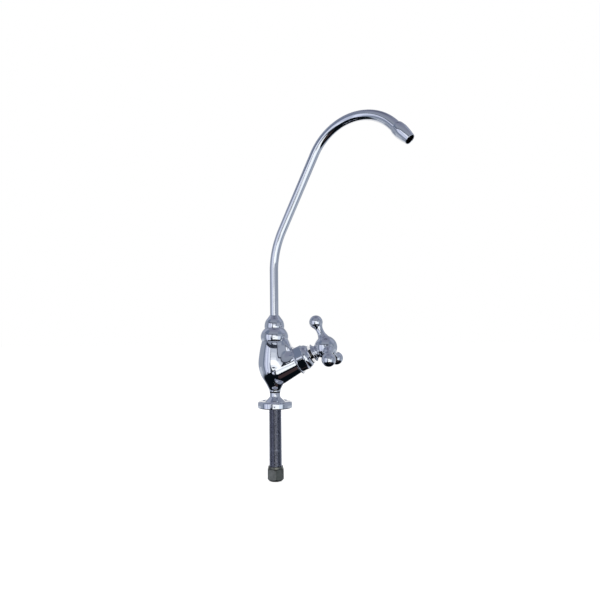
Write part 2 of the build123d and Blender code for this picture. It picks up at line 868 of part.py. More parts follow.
# Grub screw that bears on the stem
with BuildPart() as handle_grub_screw:
    with BuildSketch(grub_plane.offset(spline_radius)):
        Circle(grub_radius - thread_clearance)
    extrude(amount=waist_radius - spline_radius - 0.3)
    with BuildSketch(grub_plane.offset(waist_radius - 0.3)):
        RegularPolygon(grub_radius * 0.55, 6)
    extrude(amount=-0.9, mode=Mode.SUBTRACT)
handle_grub_screw.part.label = "handle_grub_screw"

pieces = (
    threaded_shank,
    compression_nut,
    ferrule,
    base_flange,
    base_o_ring,
    tap_body,
    crown_collar,
    spout_nut,
    spout_thrust_ring,
    spout_end_bush,
    spout_o_rings,
    spout_tube,
    spout_nozzle,
    seat_seal,
    fixed_disc,
    moving_disc,
    cartridge_body,
    cartridge_o_ring,
    stem_washer,
    stem,
    stem_o_rings,
    stem_clip,
    bonnet_nut,
    handle,
    handle_grub_screw,
)
os.makedirs("parts", exist_ok=True)
for piece in pieces:
    export_step(piece.part, f"parts/{piece.part.label}.step")
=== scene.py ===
"""Swan neck drinking-water tap: the looks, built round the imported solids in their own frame.

+Z is up along the tap's axis, the origin is the centre of the flange's underside, and the
valve branch leans out over +X. Sizes here are millimetres, as the solids are made from, and
the bench turns them into the frame's metres.
"""

import json
import logging
import math
from collections.abc import Callable, Sequence
from dataclasses import dataclass, field
from enum import Enum
from itertools import pairwise

import bpy
from mathutils import Matrix, Vector

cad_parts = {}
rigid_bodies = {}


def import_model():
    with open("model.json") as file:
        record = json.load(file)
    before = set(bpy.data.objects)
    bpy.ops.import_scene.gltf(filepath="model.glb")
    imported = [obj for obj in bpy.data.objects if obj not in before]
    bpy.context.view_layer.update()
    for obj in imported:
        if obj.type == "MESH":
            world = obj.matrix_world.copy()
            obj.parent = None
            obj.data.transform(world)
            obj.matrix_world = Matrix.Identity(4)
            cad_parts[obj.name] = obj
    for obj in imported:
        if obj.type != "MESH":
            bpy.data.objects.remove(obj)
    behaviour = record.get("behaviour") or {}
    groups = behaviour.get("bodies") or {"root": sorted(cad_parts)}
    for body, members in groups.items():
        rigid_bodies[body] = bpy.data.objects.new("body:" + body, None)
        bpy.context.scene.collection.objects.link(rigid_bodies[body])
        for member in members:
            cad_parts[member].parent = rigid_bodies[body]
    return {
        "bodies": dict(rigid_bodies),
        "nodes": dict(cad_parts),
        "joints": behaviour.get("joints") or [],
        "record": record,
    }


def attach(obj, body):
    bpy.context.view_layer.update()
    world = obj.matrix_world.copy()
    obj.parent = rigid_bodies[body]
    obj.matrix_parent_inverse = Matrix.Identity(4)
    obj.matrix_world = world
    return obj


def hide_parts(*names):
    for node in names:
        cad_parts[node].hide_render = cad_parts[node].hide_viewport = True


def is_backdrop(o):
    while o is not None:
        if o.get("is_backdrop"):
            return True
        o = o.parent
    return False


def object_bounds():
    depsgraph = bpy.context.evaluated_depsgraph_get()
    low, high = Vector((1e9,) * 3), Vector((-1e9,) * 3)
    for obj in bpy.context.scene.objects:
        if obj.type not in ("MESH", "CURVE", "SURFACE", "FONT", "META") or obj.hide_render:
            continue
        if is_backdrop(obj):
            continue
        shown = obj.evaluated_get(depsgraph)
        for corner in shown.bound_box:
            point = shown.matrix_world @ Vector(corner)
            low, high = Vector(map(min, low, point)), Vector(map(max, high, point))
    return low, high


LOG = logging.getLogger("swan_neck_tap")
MM = 0.001
WELD = 2e-6
Point = tuple[float, float]
Colour = tuple[float, float, float]


class Body(str, Enum):
    """The three groups of pieces that move against each other."""

    FIXED = "tap_fixed"
    NECK = "swan_neck"
    VALVE = "handle_and_stem"


class Slot(str, Enum):
    """The record's material slots."""

    CHROME = "chrome_plate"
    THREAD = "zinc_thread"
    NUT = "raw_nut"
    BRASS = "brass"
    STEM = "brass_dark"
    RUBBER = "black_rubber"
    CERAMIC = "ceramic_disc"
    NYLON = "white_nylon"
    STEEL = "spring_steel"


class Cut(str, Enum):
    """How one shape is combined with another."""

    ADD = "UNION"
    TAKE = "DIFFERENCE"
    KEEP = "INTERSECT"


@dataclass(frozen=True)
class Axle:
    """A line that pieces are turned about: where it starts and the way it points."""

    foot: Vector
    way: Vector
    out: Vector

    def at(self, radius: float, along: float) -> Vector:
        """A point this far out from the line and this far along it."""
        return self.foot + self.way * along + self.out * radius

    def facing(self, out: Vector) -> "Axle":
        """The same line, with its profiles drawn in another direction."""
        return Axle(self.foot, self.way, out)


def tap_axle() -> Axle:
    """The tap's upright axis."""
    return Axle(Vector((0, 0, 0)), Vector((0, 0, 1)), Vector((1, 0, 0)))


def valve_axle() -> Axle:
    """The valve's axis, which slopes up from the middle of the body."""
    lean = math.radians(24.5)
    way = Vector((math.cos(lean), 0, math.sin(lean)))
    return Axle(Vector((0, 0, 34.2)), way, Vector((-way.z, 0, way.x)))


def spout_out() -> Vector:
    """The level direction in which the swan neck reaches at rest."""
    turn = math.radians(-18.6)
    return Vector((math.cos(turn), math.sin(turn), 0))


@dataclass
class Outline:
    """A profile for the lathe, drawn as (distance from the axle, distance along it)."""

    points: list[Point] = field(default_factory=list)

    def line(self, *places: Point) -> "Outline":
        """Run straight from place to place."""
        self.points.extend(places)
        return self

    def curve(self, *places: Point, leave: Point, arrive: Point, steps: int = 8) -> "Outline":
        """Run smoothly on from the last point.

        Args:
            places: points that the line goes through, the last one its end.
            leave: direction at the start.
            arrive: direction at the end.
            steps: straight pieces in each span.

        Returns:
            This outline.
        """
        knots = [Vector(place) for place in (self.points[-1], *places)]
        ways = [Vector(leave).normalized()]
        for before, here, after in zip(knots, knots[1:], knots[2:]):
            back, ahead = here - before, after - here
            share = back.length / (back.length + ahead.length)
            ways.append(back.normalized() * (1 - share) + ahead.normalized() * share)
        ways.append(Vector(arrive).normalized())
        for (start, end), (away, home) in zip(pairwise(knots), pairwise(ways)):
            pull = (end - start).length
            for step in range(1, steps + 1):
                t = step / steps
                place = (
                    start * (2 * t**3 - 3 * t**2 + 1)
                    + away * pull * (t**3 - 2 * t**2 + t)
                    + end * (3 * t**2 - 2 * t**3)
                    + home * pull * (t**3 - t**2)
                )
                self.points.append((place.x, place.y))
        return self

    def round(self, corner: Point, end: Point, steps: int = 6) -> "Outline":
        """Run on round a corner to an end, as a quarter of an ellipse.

        Args:
            corner: the corner that the curve rounds off.
            end: where it ends.
            steps: straight pieces in the curve.

        Returns:
            This outline.
        """
        start, elbow, last = Vector(self.points[-1]), Vector(corner), Vector(end)
        centre = start + last - elbow
        for step in range(1, steps + 1):
            swing = math.pi / 2 * step / steps
            place = centre + (start - centre) * math.cos(swing) + (last - centre) * math.sin(swing)
            self.points.append((place.x, place.y))
        return self


class Bench:
    """Blender's operators, used as by hand: all is deselected first, then picked in code."""

    @staticmethod
    def clear() -> None:
        """Leave edit mode and deselect every object."""
        active = bpy.context.view_layer.objects.active
        if active is not None and active.mode != "OBJECT":
            bpy.ops.object.mode_set(mode="OBJECT")
        bpy.ops.object.select_all(action="DESELECT")

    @classmethod
    def take(cls, piece: bpy.types.Object) -> None:
        """Select one object alone and make it the active one."""
        cls.clear()
        piece.select_set(True)
        bpy.context.view_layer.objects.active = piece

    @classmethod
    def name(cls, name: str) -> bpy.types.Object:
        """Name the new active object, put its place in its mesh and return it."""
        piece = bpy.context.active_object
        piece.name = piece.data.name = name
        bpy.ops.object.transform_apply(location=True, rotation=True, scale=True)
        return piece

    @classmethod
    def draw(cls, name: str, places: Sequence[Vector]) -> bpy.types.Object:
        """Draw an open line by extruding one vertex from place to place.

        Args:
            name: the new object's name.
            places: the line's points, in millimetres.

        Returns:
            The line, still in edit mode with its last vertex selected.
        """
        cls.clear()
        bpy.ops.mesh.primitive_plane_add(size=MM, location=places[0] * MM)
        piece = cls.name(name)
        bpy.ops.object.mode_set(mode="EDIT")
        bpy.ops.mesh.select_mode(type="VERT")
        bpy.ops.mesh.select_all(action="SELECT")
        bpy.ops.mesh.merge(type="CENTER")
        for here, there in pairwise(places):
            bpy.ops.mesh.extrude_region_move(TRANSFORM_OT_translate={"value": (there - here) * MM})
        return piece

    @classmethod
    def turn(cls, name: str, outline: Outline, axle: Axle, sides: int = 112) -> bpy.types.Object:
        """Turn a closed profile about an axle, as on a lathe.

        Args:
            name: the new object's name.
            outline: the profile, without its first point repeated at the end.
            axle: what it turns about, and where its profile is drawn.
            sides: how many flats the turned shape has.

        Returns:
            The closed shape, in object mode.
        """
        places = [axle.at(radius, along) for radius, along in outline.points]
        piece = cls.draw(name, [*places, places[0]])
        bpy.ops.mesh.select_all(action="SELECT")
        bpy.ops.mesh.spin(
            steps=sides, angle=-math.tau, center=axle.foot * MM, axis=axle.way, use_auto_merge=True
        )
        cls.weld(piece)
        return piece

    @classmethod
    def weld(cls, piece: bpy.types.Object, gap: float = WELD) -> None:
        """Merge an object's doubled vertices and point its faces outwards.

        Args:
            piece: the object, which ends in object mode.
            gap: what counts as doubled, in metres.
        """
        cls.take(piece)
        bpy.ops.object.mode_set(mode="EDIT")
        bpy.ops.mesh.select_all(action="SELECT")
        bpy.ops.mesh.remove_doubles(threshold=gap)
        bpy.ops.mesh.delete_loose()
        bpy.ops.mesh.select_all(action="SELECT")
        bpy.ops.mesh.normals_make_consistent(inside=False)
        bpy.ops.object.mode_set(mode="OBJECT")

    @classmethod
    def modify(cls, piece: bpy.types.Object, kind: str, **settings: object) -> None:
        """Add one modifier, set it and apply it.

        Args:
            piece: the object.
            kind: Blender's name of the modifier.
            settings: the modifier's values.
        """
        cls.take(piece)
        bpy.ops.object.modifier_add(type=kind)
        modifier = piece.modifiers[-1]
        for key, value in settings.items():
            setattr(modifier, key, value)
        bpy.ops.object.modifier_apply(modifier=modifier.name)

    @classmethod
    def combine(cls, piece: bpy.types.Object, other: bpy.types.Object, how: Cut) -> None:
        """Add, take or keep what another object fills, and use that object up.

        Args:
            piece: the object that stays.
            other: the object that is used up.
            how: which of the three.
        """
        cls.modify(piece, "BOOLEAN", operation=how.value, object=other, solver="EXACT")
        bpy.data.objects.remove(other)

    @classmethod
    def pick(cls, piece: bpy.types.Object, test: Callable[[Vector], bool]) -> int:
        """Go into edit mode with only the vertices that pass a test selected.

        Args:
            piece: the object.
            test: says yes or no to a place in millimetres.

        Returns:
            How many vertices are selected.
        """
        cls.take(piece)
        chosen = [test(vertex.co / MM) for vertex in piece.data.vertices]
        bpy.ops.object.mode_set(mode="EDIT")
        bpy.ops.mesh.select_mode(type="VERT")
        bpy.ops.mesh.select_all(action="DESELECT")
        bpy.ops.object.mode_set(mode="OBJECT")
        piece.data.vertices.foreach_set("select", chosen)
        bpy.ops.object.mode_set(mode="EDIT")
        return sum(chosen)

    @classmethod
    def smooth_where(
        cls, piece: bpy.types.Object, test: Callable[[Vector], bool], repeat: int
    ) -> None:
        """Relax the vertices that pass a test.

        Args:
            piece: the object.
            test: says yes or no to a place in millimetres.
            repeat: how many times over.
        """
        if cls.pick(piece, test):
            bpy.ops.mesh.vertices_smooth(factor=0.5, repeat=repeat)
        bpy.ops.object.mode_set(mode="OBJECT")

    @classmethod
    def slice_off(cls, piece: bpy.types.Object, place: Vector, way: Vector) -> None:
        """Cut an object flat and close the cut.

        Args:
            piece: the object.
            place: a point of the cut, in millimetres.
            way: what lies on this side of the cut goes.
        """
        cls.take(piece)
        bpy.ops.object.mode_set(mode="EDIT")
        bpy.ops.mesh.select_all(action="SELECT")
        bpy.ops.mesh.bisect(
            plane_co=place * MM, plane_no=way, use_fill=True, clear_outer=True, threshold=1e-7
        )
        bpy.ops.object.mode_set(mode="OBJECT")

    @classmethod
    def ease_edges(cls, piece: bpy.types.Object, width: float, segments: int = 2) -> None:
        """Break the sharp edges as polishing does.

        Args:
            piece: the object.
            width: how far each edge is cut back, in millimetres.
            segments: faces across the broken edge.
        """
        cls.modify(
            piece,
            "BEVEL",
            width=width * MM,
            segments=segments,
            limit_method="ANGLE",
            angle_limit=math.radians(28),
            use_clamp_overlap=True,
        )

    @classmethod
    def shade(cls, piece: bpy.types.Object, angle: float = 40.0) -> None:
        """Shade smoothly across edges flatter than an angle in degrees."""
        cls.take(piece)
        bpy.ops.object.shade_smooth_by_angle(angle=math.radians(angle))

    @classmethod
    def weigh(cls, piece: bpy.types.Object) -> None:
        """Let the large faces lead the shading, so that flats stay flat."""
        cls.modify(piece, "WEIGHTED_NORMAL", keep_sharp=True, weight=80)


class Graph:
    """Adds and wires the nodes of one shader tree."""

    def __init__(self, tree: bpy.types.NodeTree) -> None:
        """Work on this tree.

        Args:
            tree: the tree, of a material, a world or a node group.
        """
        self.tree = tree

    def add(self, kind: str, **settings: object) -> bpy.types.Node:
        """Add a node.

        Args:
            kind: Blender's name of the node.
            settings: attributes of the node.

        Returns:
            The new node.
        """
        node = self.tree.nodes.new(kind)
        for key, value in settings.items():
            setattr(node, key, value)
        return node

    def link(self, source: bpy.types.NodeSocket, target: bpy.types.NodeSocket) -> None:
        """Join an output to an input."""
        self.tree.links.new(source, target)

    def feed(self, node: bpy.types.Node, **inputs: object) -> None:
        """Set inputs by name, from a number, a colour or another node's output.

        Args:
            node: the node.
            inputs: its values, with _ for each space in a socket's name.
        """
        for key, value in inputs.items():
            socket = node.inputs[key.replace("_", " ")]
            if isinstance(value, bpy.types.NodeSocket):
                self.link(value, socket)
            else:
                socket.default_value = value

    def noise(self, vector: bpy.types.NodeSocket, scale: object, detail: float = 3.0):
        """Noise in three dimensions.

        Args:
            vector: where to read it.
            scale: how fine it is, as a number or an output.
            detail: how many octaves.

        Returns:
            The noise's value output.
        """
        node = self.add("ShaderNodeTexNoise")
        self.feed(node, Vector=vector, Scale=scale, Detail=detail)
        return node.outputs[0]

    def span(self, value, low: float, high: float, start: object, end: object):
        """Stretch a value from one range to another, without going past it.

        Args:
            value: the output to stretch.
            low: where it starts.
            high: where it ends.
            start: what the low end becomes.
            end: what the high end becomes.

        Returns:
            The stretched value.
        """
        node = self.add("ShaderNodeMapRange", clamp=True)
        self.feed(node, Value=value, From_Min=low, From_Max=high, To_Min=start, To_Max=end)
        return node.outputs[0]

    def sum(self, first, second, operation: str = "ADD", clamp: bool = False):
        """Combine two values by a math operation.

        Args:
            first: an output.
            second: an output or a number.
            operation: Blender's name of the operation.
            clamp: keep the result from 0 to 1.

        Returns:
            The result.
        """
        node = self.add("ShaderNodeMath", operation=operation, use_clamp=clamp)
        self.link(first, node.inputs[0])
        if isinstance(second, bpy.types.NodeSocket):
            self.link(second, node.inputs[1])
        else:
            node.inputs[1].default_value = second
        return node.outputs[0]


class SharedEffects:
    """Effects that several finishes use, each a node group built once."""

    def __init__(self) -> None:
        """Start with none built."""
        self._built: dict[str, bpy.types.NodeTree] = {}

    def _group(
        self, name: str, inputs: dict[str, object], outputs: dict[str, str]
    ) -> tuple[Graph, bpy.types.Node, bpy.types.Node]:
        """Make an empty node group with its sockets.

        Args:
            name: the group's name.
            inputs: each input's default; a string is a socket type with no default.
            outputs: each output's socket type.

        Returns:
            Its graph, its input node and its output node.
        """
        tree = bpy.data.node_groups.new(name, "ShaderNodeTree")
        for label, value in inputs.items():
            kind = value if isinstance(value, str) else "NodeSocketFloat"
            kind = "NodeSocketColor" if isinstance(value, tuple) else kind
            socket = tree.interface.new_socket(label, in_out="INPUT", socket_type=kind)
            if not isinstance(value, str):
                socket.default_value = value
        for label, kind in outputs.items():
            tree.interface.new_socket(label, in_out="OUTPUT", socket_type=kind)
        graph = Graph(tree)
        self._built[name] = tree
        return graph, graph.add("NodeGroupInput"), graph.add("NodeGroupOutput")

    def place(self, graph: Graph, name: str, **inputs: object) -> bpy.types.Node:
        """Place one of the effects in a material.

        Args:
            graph: the material's graph.
            name: the effect's name.
            inputs: its values.

        Returns:
            The group node.
        """
        if name not in self._built:
            {
                "polish_haze": self._polish_haze,
                "two_tone": self._two_tone,
                "tool_rings": self._tool_rings,
                "pitting": self._pitting,
            }[name]()
        node = graph.add("ShaderNodeGroup", node_tree=self._built[name])
        graph.feed(node, **inputs)
        return node

    def _polish_haze(self) -> None:
        """Where buffing and handling leave a shine a little dull, and its faint ripple."""
        graph, source, result = self._group(
            "polish_haze",
            {"Vector": "NodeSocketVector", "Patch": 160.0, "Grain": 5200.0, "Ripple": 0.4},
            {"Haze": "NodeSocketFloat", "Height": "NodeSocketFloat"},
        )
        patches = graph.noise(source.outputs["Vector"], source.outputs["Patch"], 2.0)
        stretch = graph.add("ShaderNodeMapping", vector_type="POINT")
        graph.feed(stretch, Vector=source.outputs["Vector"], Scale=(1.0, 1.0, 0.12))
        grain = graph.noise(stretch.outputs[0], source.outputs["Grain"], 2.0)
        haze = graph.sum(graph.span(patches, 0.42, 0.7, 0.0, 0.8), grain, "MULTIPLY", True)
        graph.link(haze, result.inputs["Haze"])
        wave = graph.sum(patches, source.outputs["Ripple"], "MULTIPLY")
        fine = graph.sum(grain, 0.04, "MULTIPLY")
        graph.link(graph.sum(wave, fine), result.inputs["Height"])

    def _two_tone(self) -> None:
        """A colour that drifts between two close tones, as a real surface does."""
        graph, source, result = self._group(
            "two_tone",
            {
                "Vector": "NodeSocketVector",
                "Scale": 120.0,
                "Tone A": (0.5, 0.5, 0.5, 1.0),
                "Tone B": (0.6, 0.6, 0.6, 1.0),
            },
            {"Colour": "NodeSocketColor", "Mask": "NodeSocketFloat"},
        )
        drift = graph.span(
            graph.noise(source.outputs["Vector"], source.outputs["Scale"], 5.0), 0.35, 0.65, 0.0, 1.0
        )
        mix = graph.add("ShaderNodeMix", data_type="RGBA")
        graph.link(drift, mix.inputs[0])
        graph.link(source.outputs["Tone A"], mix.inputs[6])
        graph.link(source.outputs["Tone B"], mix.inputs[7])
        graph.link(mix.outputs[2], result.inputs["Colour"])
        graph.link(drift, result.inputs["Mask"])

    def _tool_rings(self) -> None:
        """The fine rings that a lathe tool leaves along the upright axis."""
        graph, source, result = self._group(
            "tool_rings",
            {"Vector": "NodeSocketVector", "Pitch": 0.00025},
            {"Height": "NodeSocketFloat"},
        )
        split = graph.add("ShaderNodeSeparateXYZ")
        graph.link(source.outputs["Vector"], split.inputs[0])
        turns = graph.sum(split.outputs["Z"], source.outputs["Pitch"], "DIVIDE")
        graph.link(graph.sum(turns, 1.0, "PINGPONG"), result.inputs["Height"])

    def _pitting(self) -> None:
        """Small scattered pits and grains, as on unpolished metal, rubber or ceramic."""
        graph, source, result = self._group(
            "pitting",
            {"Vector": "NodeSocketVector", "Scale": 2500.0},
            {"Height": "NodeSocketFloat", "Mask": "NodeSocketFloat"},
        )
        cells = graph.add("ShaderNodeTexVoronoi", feature="F1")
        graph.feed(cells, Vector=source.outputs["Vector"], Scale=source.outputs["Scale"])
        graph.link(graph.span(cells.outputs["Distance"], 0.0, 0.5, 0.0, 1.0), result.inputs["Height"])
        spots = graph.noise(source.outputs["Vector"], source.outputs["Scale"], 4.0)
        graph.link(graph.span(spots, 0.5, 0.62, 0.0, 1.0), result.inputs["Mask"])


@dataclass(frozen=True)
class Finish:
    """One finish: its tones, how it shines, and which marks it carries."""

    slot: Slot
    tone: Colour
    drift: Colour
    metallic: float
    shine: tuple[float, float]
    patch: float = 160.0
    ripple: float = 0.4
    relief: float = 0.02
    effect: str = "polish_haze"
    coat: float = 0.0

    def material(self, effects: SharedEffects) -> bpy.types.Material:
        """Build the finish as a material.

        Args:
            effects: the shared node groups.

        Returns:
            The material, named as its slot.
        """
        material = bpy.data.materials.new(self.slot.value)
        material.use_nodes = True
        graph = Graph(material.node_tree)
        shader = material.node_tree.nodes["Principled BSDF"]
        place = graph.add("ShaderNodeTexCoord").outputs["Object"]
        tones = effects.place(graph, "two_tone", Vector=place, Scale=self.patch)
        tones.inputs["Tone A"].default_value = (*self.tone, 1.0)
        tones.inputs["Tone B"].default_value = (*self.drift, 1.0)
        colour = self.colour(graph, effects, place, tones.outputs["Colour"])
        dull, height = self.marks(graph, effects, place)
        graph.feed(
            shader,
            Base_Color=colour,
            Metallic=self.metallic,
            Roughness=graph.span(dull, 0.0, 1.0, *self.shine),
            Coat_Weight=self.coat,
        )
        bump = graph.add("ShaderNodeBump")
        graph.feed(bump, Strength=0.5, Distance=self.relief * MM, Height=height)
        graph.link(bump.outputs[0], shader.inputs["Normal"])
        return material

    def marks(self, graph: Graph, effects: SharedEffects, place):
        """The finish's dull places and its relief.

        Args:
            graph: the material's graph.
            effects: the shared node groups.
            place: the object coordinates.

        Returns:
            The dullness and the height, as outputs.
        """
        if self.effect == "polish_haze":
            haze = effects.place(
                graph, "polish_haze", Vector=place, Patch=self.patch, Ripple=self.ripple
            )
            return haze.outputs["Haze"], haze.outputs["Height"]
        pits = effects.place(graph, "pitting", Vector=place)
        return pits.outputs["Mask"], pits.outputs["Height"]

    def colour(self, graph: Graph, effects: SharedEffects, place, tones):
        """The colour that reaches the shader: here the two tones as they are."""
        return tones


@dataclass(frozen=True)
class TurnedFinish(Finish):
    """Bare turned metal: the rings of the tool show under the other marks."""

    pitch: float = 0.00025

    def marks(self, graph: Graph, effects: SharedEffects, place):
        """Pits for the dull places, and the tool's rings for the relief."""
        pits = effects.place(graph, "pitting", Vector=place)
        rings = effects.place(graph, "tool_rings", Vector=place, Pitch=self.pitch)
        both = graph.sum(rings.outputs["Height"], pits.outputs["Height"], "MULTIPLY")
        return pits.outputs["Mask"], both


@dataclass(frozen=True)
class ThreadFinish(Finish):
    """Plated thread: bright crests, and roots darkened with painted shade."""

    root: float = 5.4
    crest: float = 5.95
    # painted shade: the dark colour that the thread's roots are given
    root_shade_tone: Colour = (0.10, 0.10, 0.13)

    def colour(self, graph: Graph, effects: SharedEffects, place, tones):
        """Darken the tones towards the thread's root, as painted shade.

        Args:
            graph: the material's graph.
            effects: the shared node groups; not used here.
            place: the object coordinates.
            tones: the drifting plate colour.

        Returns:
            The colour.
        """
        level = graph.add("ShaderNodeVectorMath", operation="MULTIPLY")
        graph.link(place, level.inputs[0])
        level.inputs[1].default_value = (1.0, 1.0, 0.0)
        length = graph.add("ShaderNodeVectorMath", operation="LENGTH")
        graph.link(level.outputs[0], length.inputs[0])
        height = graph.span(length.outputs["Value"], self.root * MM, self.crest * MM, 0.0, 1.0)
        mix = graph.add("ShaderNodeMix", data_type="RGBA")
        graph.link(height, mix.inputs[0])
        # painted shade: the colour goes dark from the crest down to the root
        mix.inputs[6].default_value = (*self.root_shade_tone, 1.0)
        graph.link(tones, mix.inputs[7])
        return mix.outputs[2]


FINISHES: tuple[Finish, ...] = (
    Finish(Slot.CHROME, (0.80, 0.81, 0.85), (0.77, 0.78, 0.82), 1.0, (0.035, 0.1), patch=140.0),
    ThreadFinish(
        Slot.THREAD, (0.70, 0.71, 0.80), (0.44, 0.45, 0.54), 1.0, (0.22, 0.36), patch=900.0
    ),
    TurnedFinish(
        Slot.NUT, (0.23, 0.23, 0.20), (0.17, 0.17, 0.145), 1.0, (0.3, 0.46), patch=300.0, relief=0.03
    ),
    TurnedFinish(Slot.BRASS, (0.80, 0.62, 0.32), (0.72, 0.54, 0.26), 1.0, (0.22, 0.34)),
    TurnedFinish(Slot.STEM, (0.12, 0.11, 0.10), (0.08, 0.075, 0.07), 1.0, (0.3, 0.42)),
    Finish(
        Slot.RUBBER, (0.012, 0.012, 0.013), (0.02, 0.02, 0.021), 0.0, (0.42, 0.6), effect="pitting"
    ),
    Finish(
        Slot.CERAMIC, (0.88, 0.87, 0.83), (0.84, 0.83, 0.79), 0.0, (0.12, 0.2), effect="pitting",
        relief=0.005,
    ),
    Finish(
        Slot.NYLON, (0.84, 0.84, 0.81), (0.80, 0.80, 0.77), 0.0, (0.38, 0.5), effect="pitting",
        relief=0.01,
    ),
    TurnedFinish(Slot.STEEL, (0.46, 0.46, 0.48), (0.38, 0.38, 0.40), 1.0, (0.25, 0.36)),
)


class PaintShop:
    """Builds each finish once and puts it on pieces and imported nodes."""

    def __init__(self) -> None:
        """Build every finish."""
        effects = SharedEffects()
        self.materials = {finish.slot: finish.material(effects) for finish in FINISHES}

    def coat(self, piece: bpy.types.Object, slot: Slot) -> None:
        """Give an object one finish all over.

        Args:
            piece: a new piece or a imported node.
            slot: whose finish it gets.
        """
        material = self.materials[slot]
        if piece.material_slots:
            for held in piece.material_slots:
                held.material = material
        else:
            piece.data.materials.append(material)

    def dress_nodes(self, frame: dict) -> None:
        """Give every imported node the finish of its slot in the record.
        """
        for row in frame["record"]["subparts"]:
            self.coat(frame["nodes"][row["node"]], Slot(row["material_slot"]))


@dataclass(frozen=True)
class Piece:
    """A finished piece: its body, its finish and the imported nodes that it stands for."""

    made: bpy.types.Object
    body: Body
    slot: Slot
    stands_for: tuple[str, ...]


def block(inner: float, outer: float, low: float, high: float) -> Outline:
    """The outline of a plain ring or, with no inner radius, of a disc."""
    return Outline([(inner, low), (outer, low), (outer, high), (inner, high)])


@dataclass
class DeckFlange:
    """The round foot: rim, dished top, cone, neck and the spigot inside the body."""

    rim_radius: float = 16.2
    rim_height: float = 6.6
    rim_round: float = 2.1
    foot_round: float = 1.05
    dish_radius: float = 10.9
    dish_height: float = 5.7
    cone_top: float = 10.4
    neck_radius: float = 4.9
    neck_top: float = 14.2
    spigot: tuple[float, float] = (4.0, 23.2)
    bore: float = 3.0
    socket: tuple[float, float] = (6.0, 6.2)
    recess: tuple[float, float] = (7.4, 0.8)

    def build(self) -> list[Piece]:
        """Turn the flange in one piece.

        Returns:
            The flange.
        """
        spigot_radius, spigot_top = self.spigot
        socket_radius, socket_top = self.socket
        recess_radius, recess_top = self.recess
        shape = Outline()
        shape.line((spigot_radius, spigot_top), (self.bore, spigot_top), (self.bore, socket_top))
        shape.line((socket_radius, socket_top), (socket_radius, recess_top))
        shape.line((recess_radius, recess_top), (recess_radius, 0))
        shape.line((self.rim_radius - self.foot_round, 0))
        shape.round((self.rim_radius, 0), (self.rim_radius, self.foot_round), steps=5)
        shape.line((self.rim_radius, self.rim_height - self.rim_round))
        shape.round(
            (self.rim_radius, self.rim_height),
            (self.rim_radius - self.rim_round, self.rim_height),
            steps=9,
        )
        shape.curve(
            (self.dish_radius, self.dish_height),
            (self.dish_radius - 1.6, self.dish_height + 0.95),
            leave=(-1, 0),
            arrive=(-1, 0.86),
            steps=6,
        )
        shape.line((self.neck_radius + 1.1, self.cone_top - 0.95))
        shape.curve((self.neck_radius, self.cone_top + 0.7), leave=(-1, 0.8), arrive=(0, 1), steps=7)
        shape.line((self.neck_radius, self.neck_top), (spigot_radius, self.neck_top))
        flange = Bench.turn("deck_flange", shape, tap_axle(), sides=144)
        Bench.ease_edges(flange, 0.12)
        Bench.shade(flange)
        return [Piece(flange, Body.FIXED, Slot.CHROME, ("base_flange",))]


@dataclass
class Shank:
    """The long threaded tube under the flange: a fine thread, cut as a helix."""

    radius: float = 6.0
    pitch: float = 1.0
    depth: float = 0.61
    top: float = 6.2
    foot: float = -61.2
    bore: float = 3.0
    socket: tuple[float, float] = (3.25, 12.0)
    relief: tuple[float, float, float] = (5.75, -39.2, -38.3)
    sides: int = 48

    def build(self) -> list[Piece]:
        """Cut the thread, square its ends and drill it.

        Returns:
            The shank.
        """
        crest, root = self.radius, self.radius - self.depth
        start = self.foot - 1.5 * self.pitch
        along = [0.0, 0.13, 0.45, 0.72, 1.0]
        radii = [crest, crest, root, root, crest]
        axle = tap_axle()
        places = [axle.at(r, start + self.pitch * share) for r, share in zip(radii, along)]
        shank = Bench.draw("shank_thread", places)
        Bench.clear()
        Bench.modify(
            shank,
            "SCREW",
            angle=math.tau,
            screw_offset=self.pitch * MM,
            iterations=math.ceil((self.top - start) / self.pitch) + 1,
            steps=self.sides,
            render_steps=self.sides,
            use_merge_vertices=True,
            merge_threshold=WELD,
        )
        Bench.weld(shank)
        Bench.slice_off(shank, Vector((0, 0, self.top)), Vector((0, 0, 1)))
        Bench.slice_off(shank, Vector((0, 0, self.foot)), Vector((0, 0, -1)))
        Bench.weld(shank)
        socket_radius, socket_depth = self.socket
        drill = Outline([(0, self.foot - 1), (socket_radius + 0.9, self.foot - 1)])
        drill.line((socket_radius + 0.9, self.foot), (socket_radius, self.foot + 0.9))
        drill.line((socket_radius, self.foot + socket_depth), (self.bore, self.foot + socket_depth))
        drill.line((self.bore, self.top + 1), (0, self.top + 1))
        Bench.combine(shank, Bench.turn("drill", drill, axle, 64), Cut.TAKE)
        relief_radius, low, high = self.relief
        ring = Bench.turn("relief", block(relief_radius, self.radius + 1, low, high), axle, 64)
        Bench.combine(shank, ring, Cut.TAKE)
        Bench.shade(shank, 28)
        return [Piece(shank, Body.FIXED, Slot.THREAD, ("threaded_shank",))]


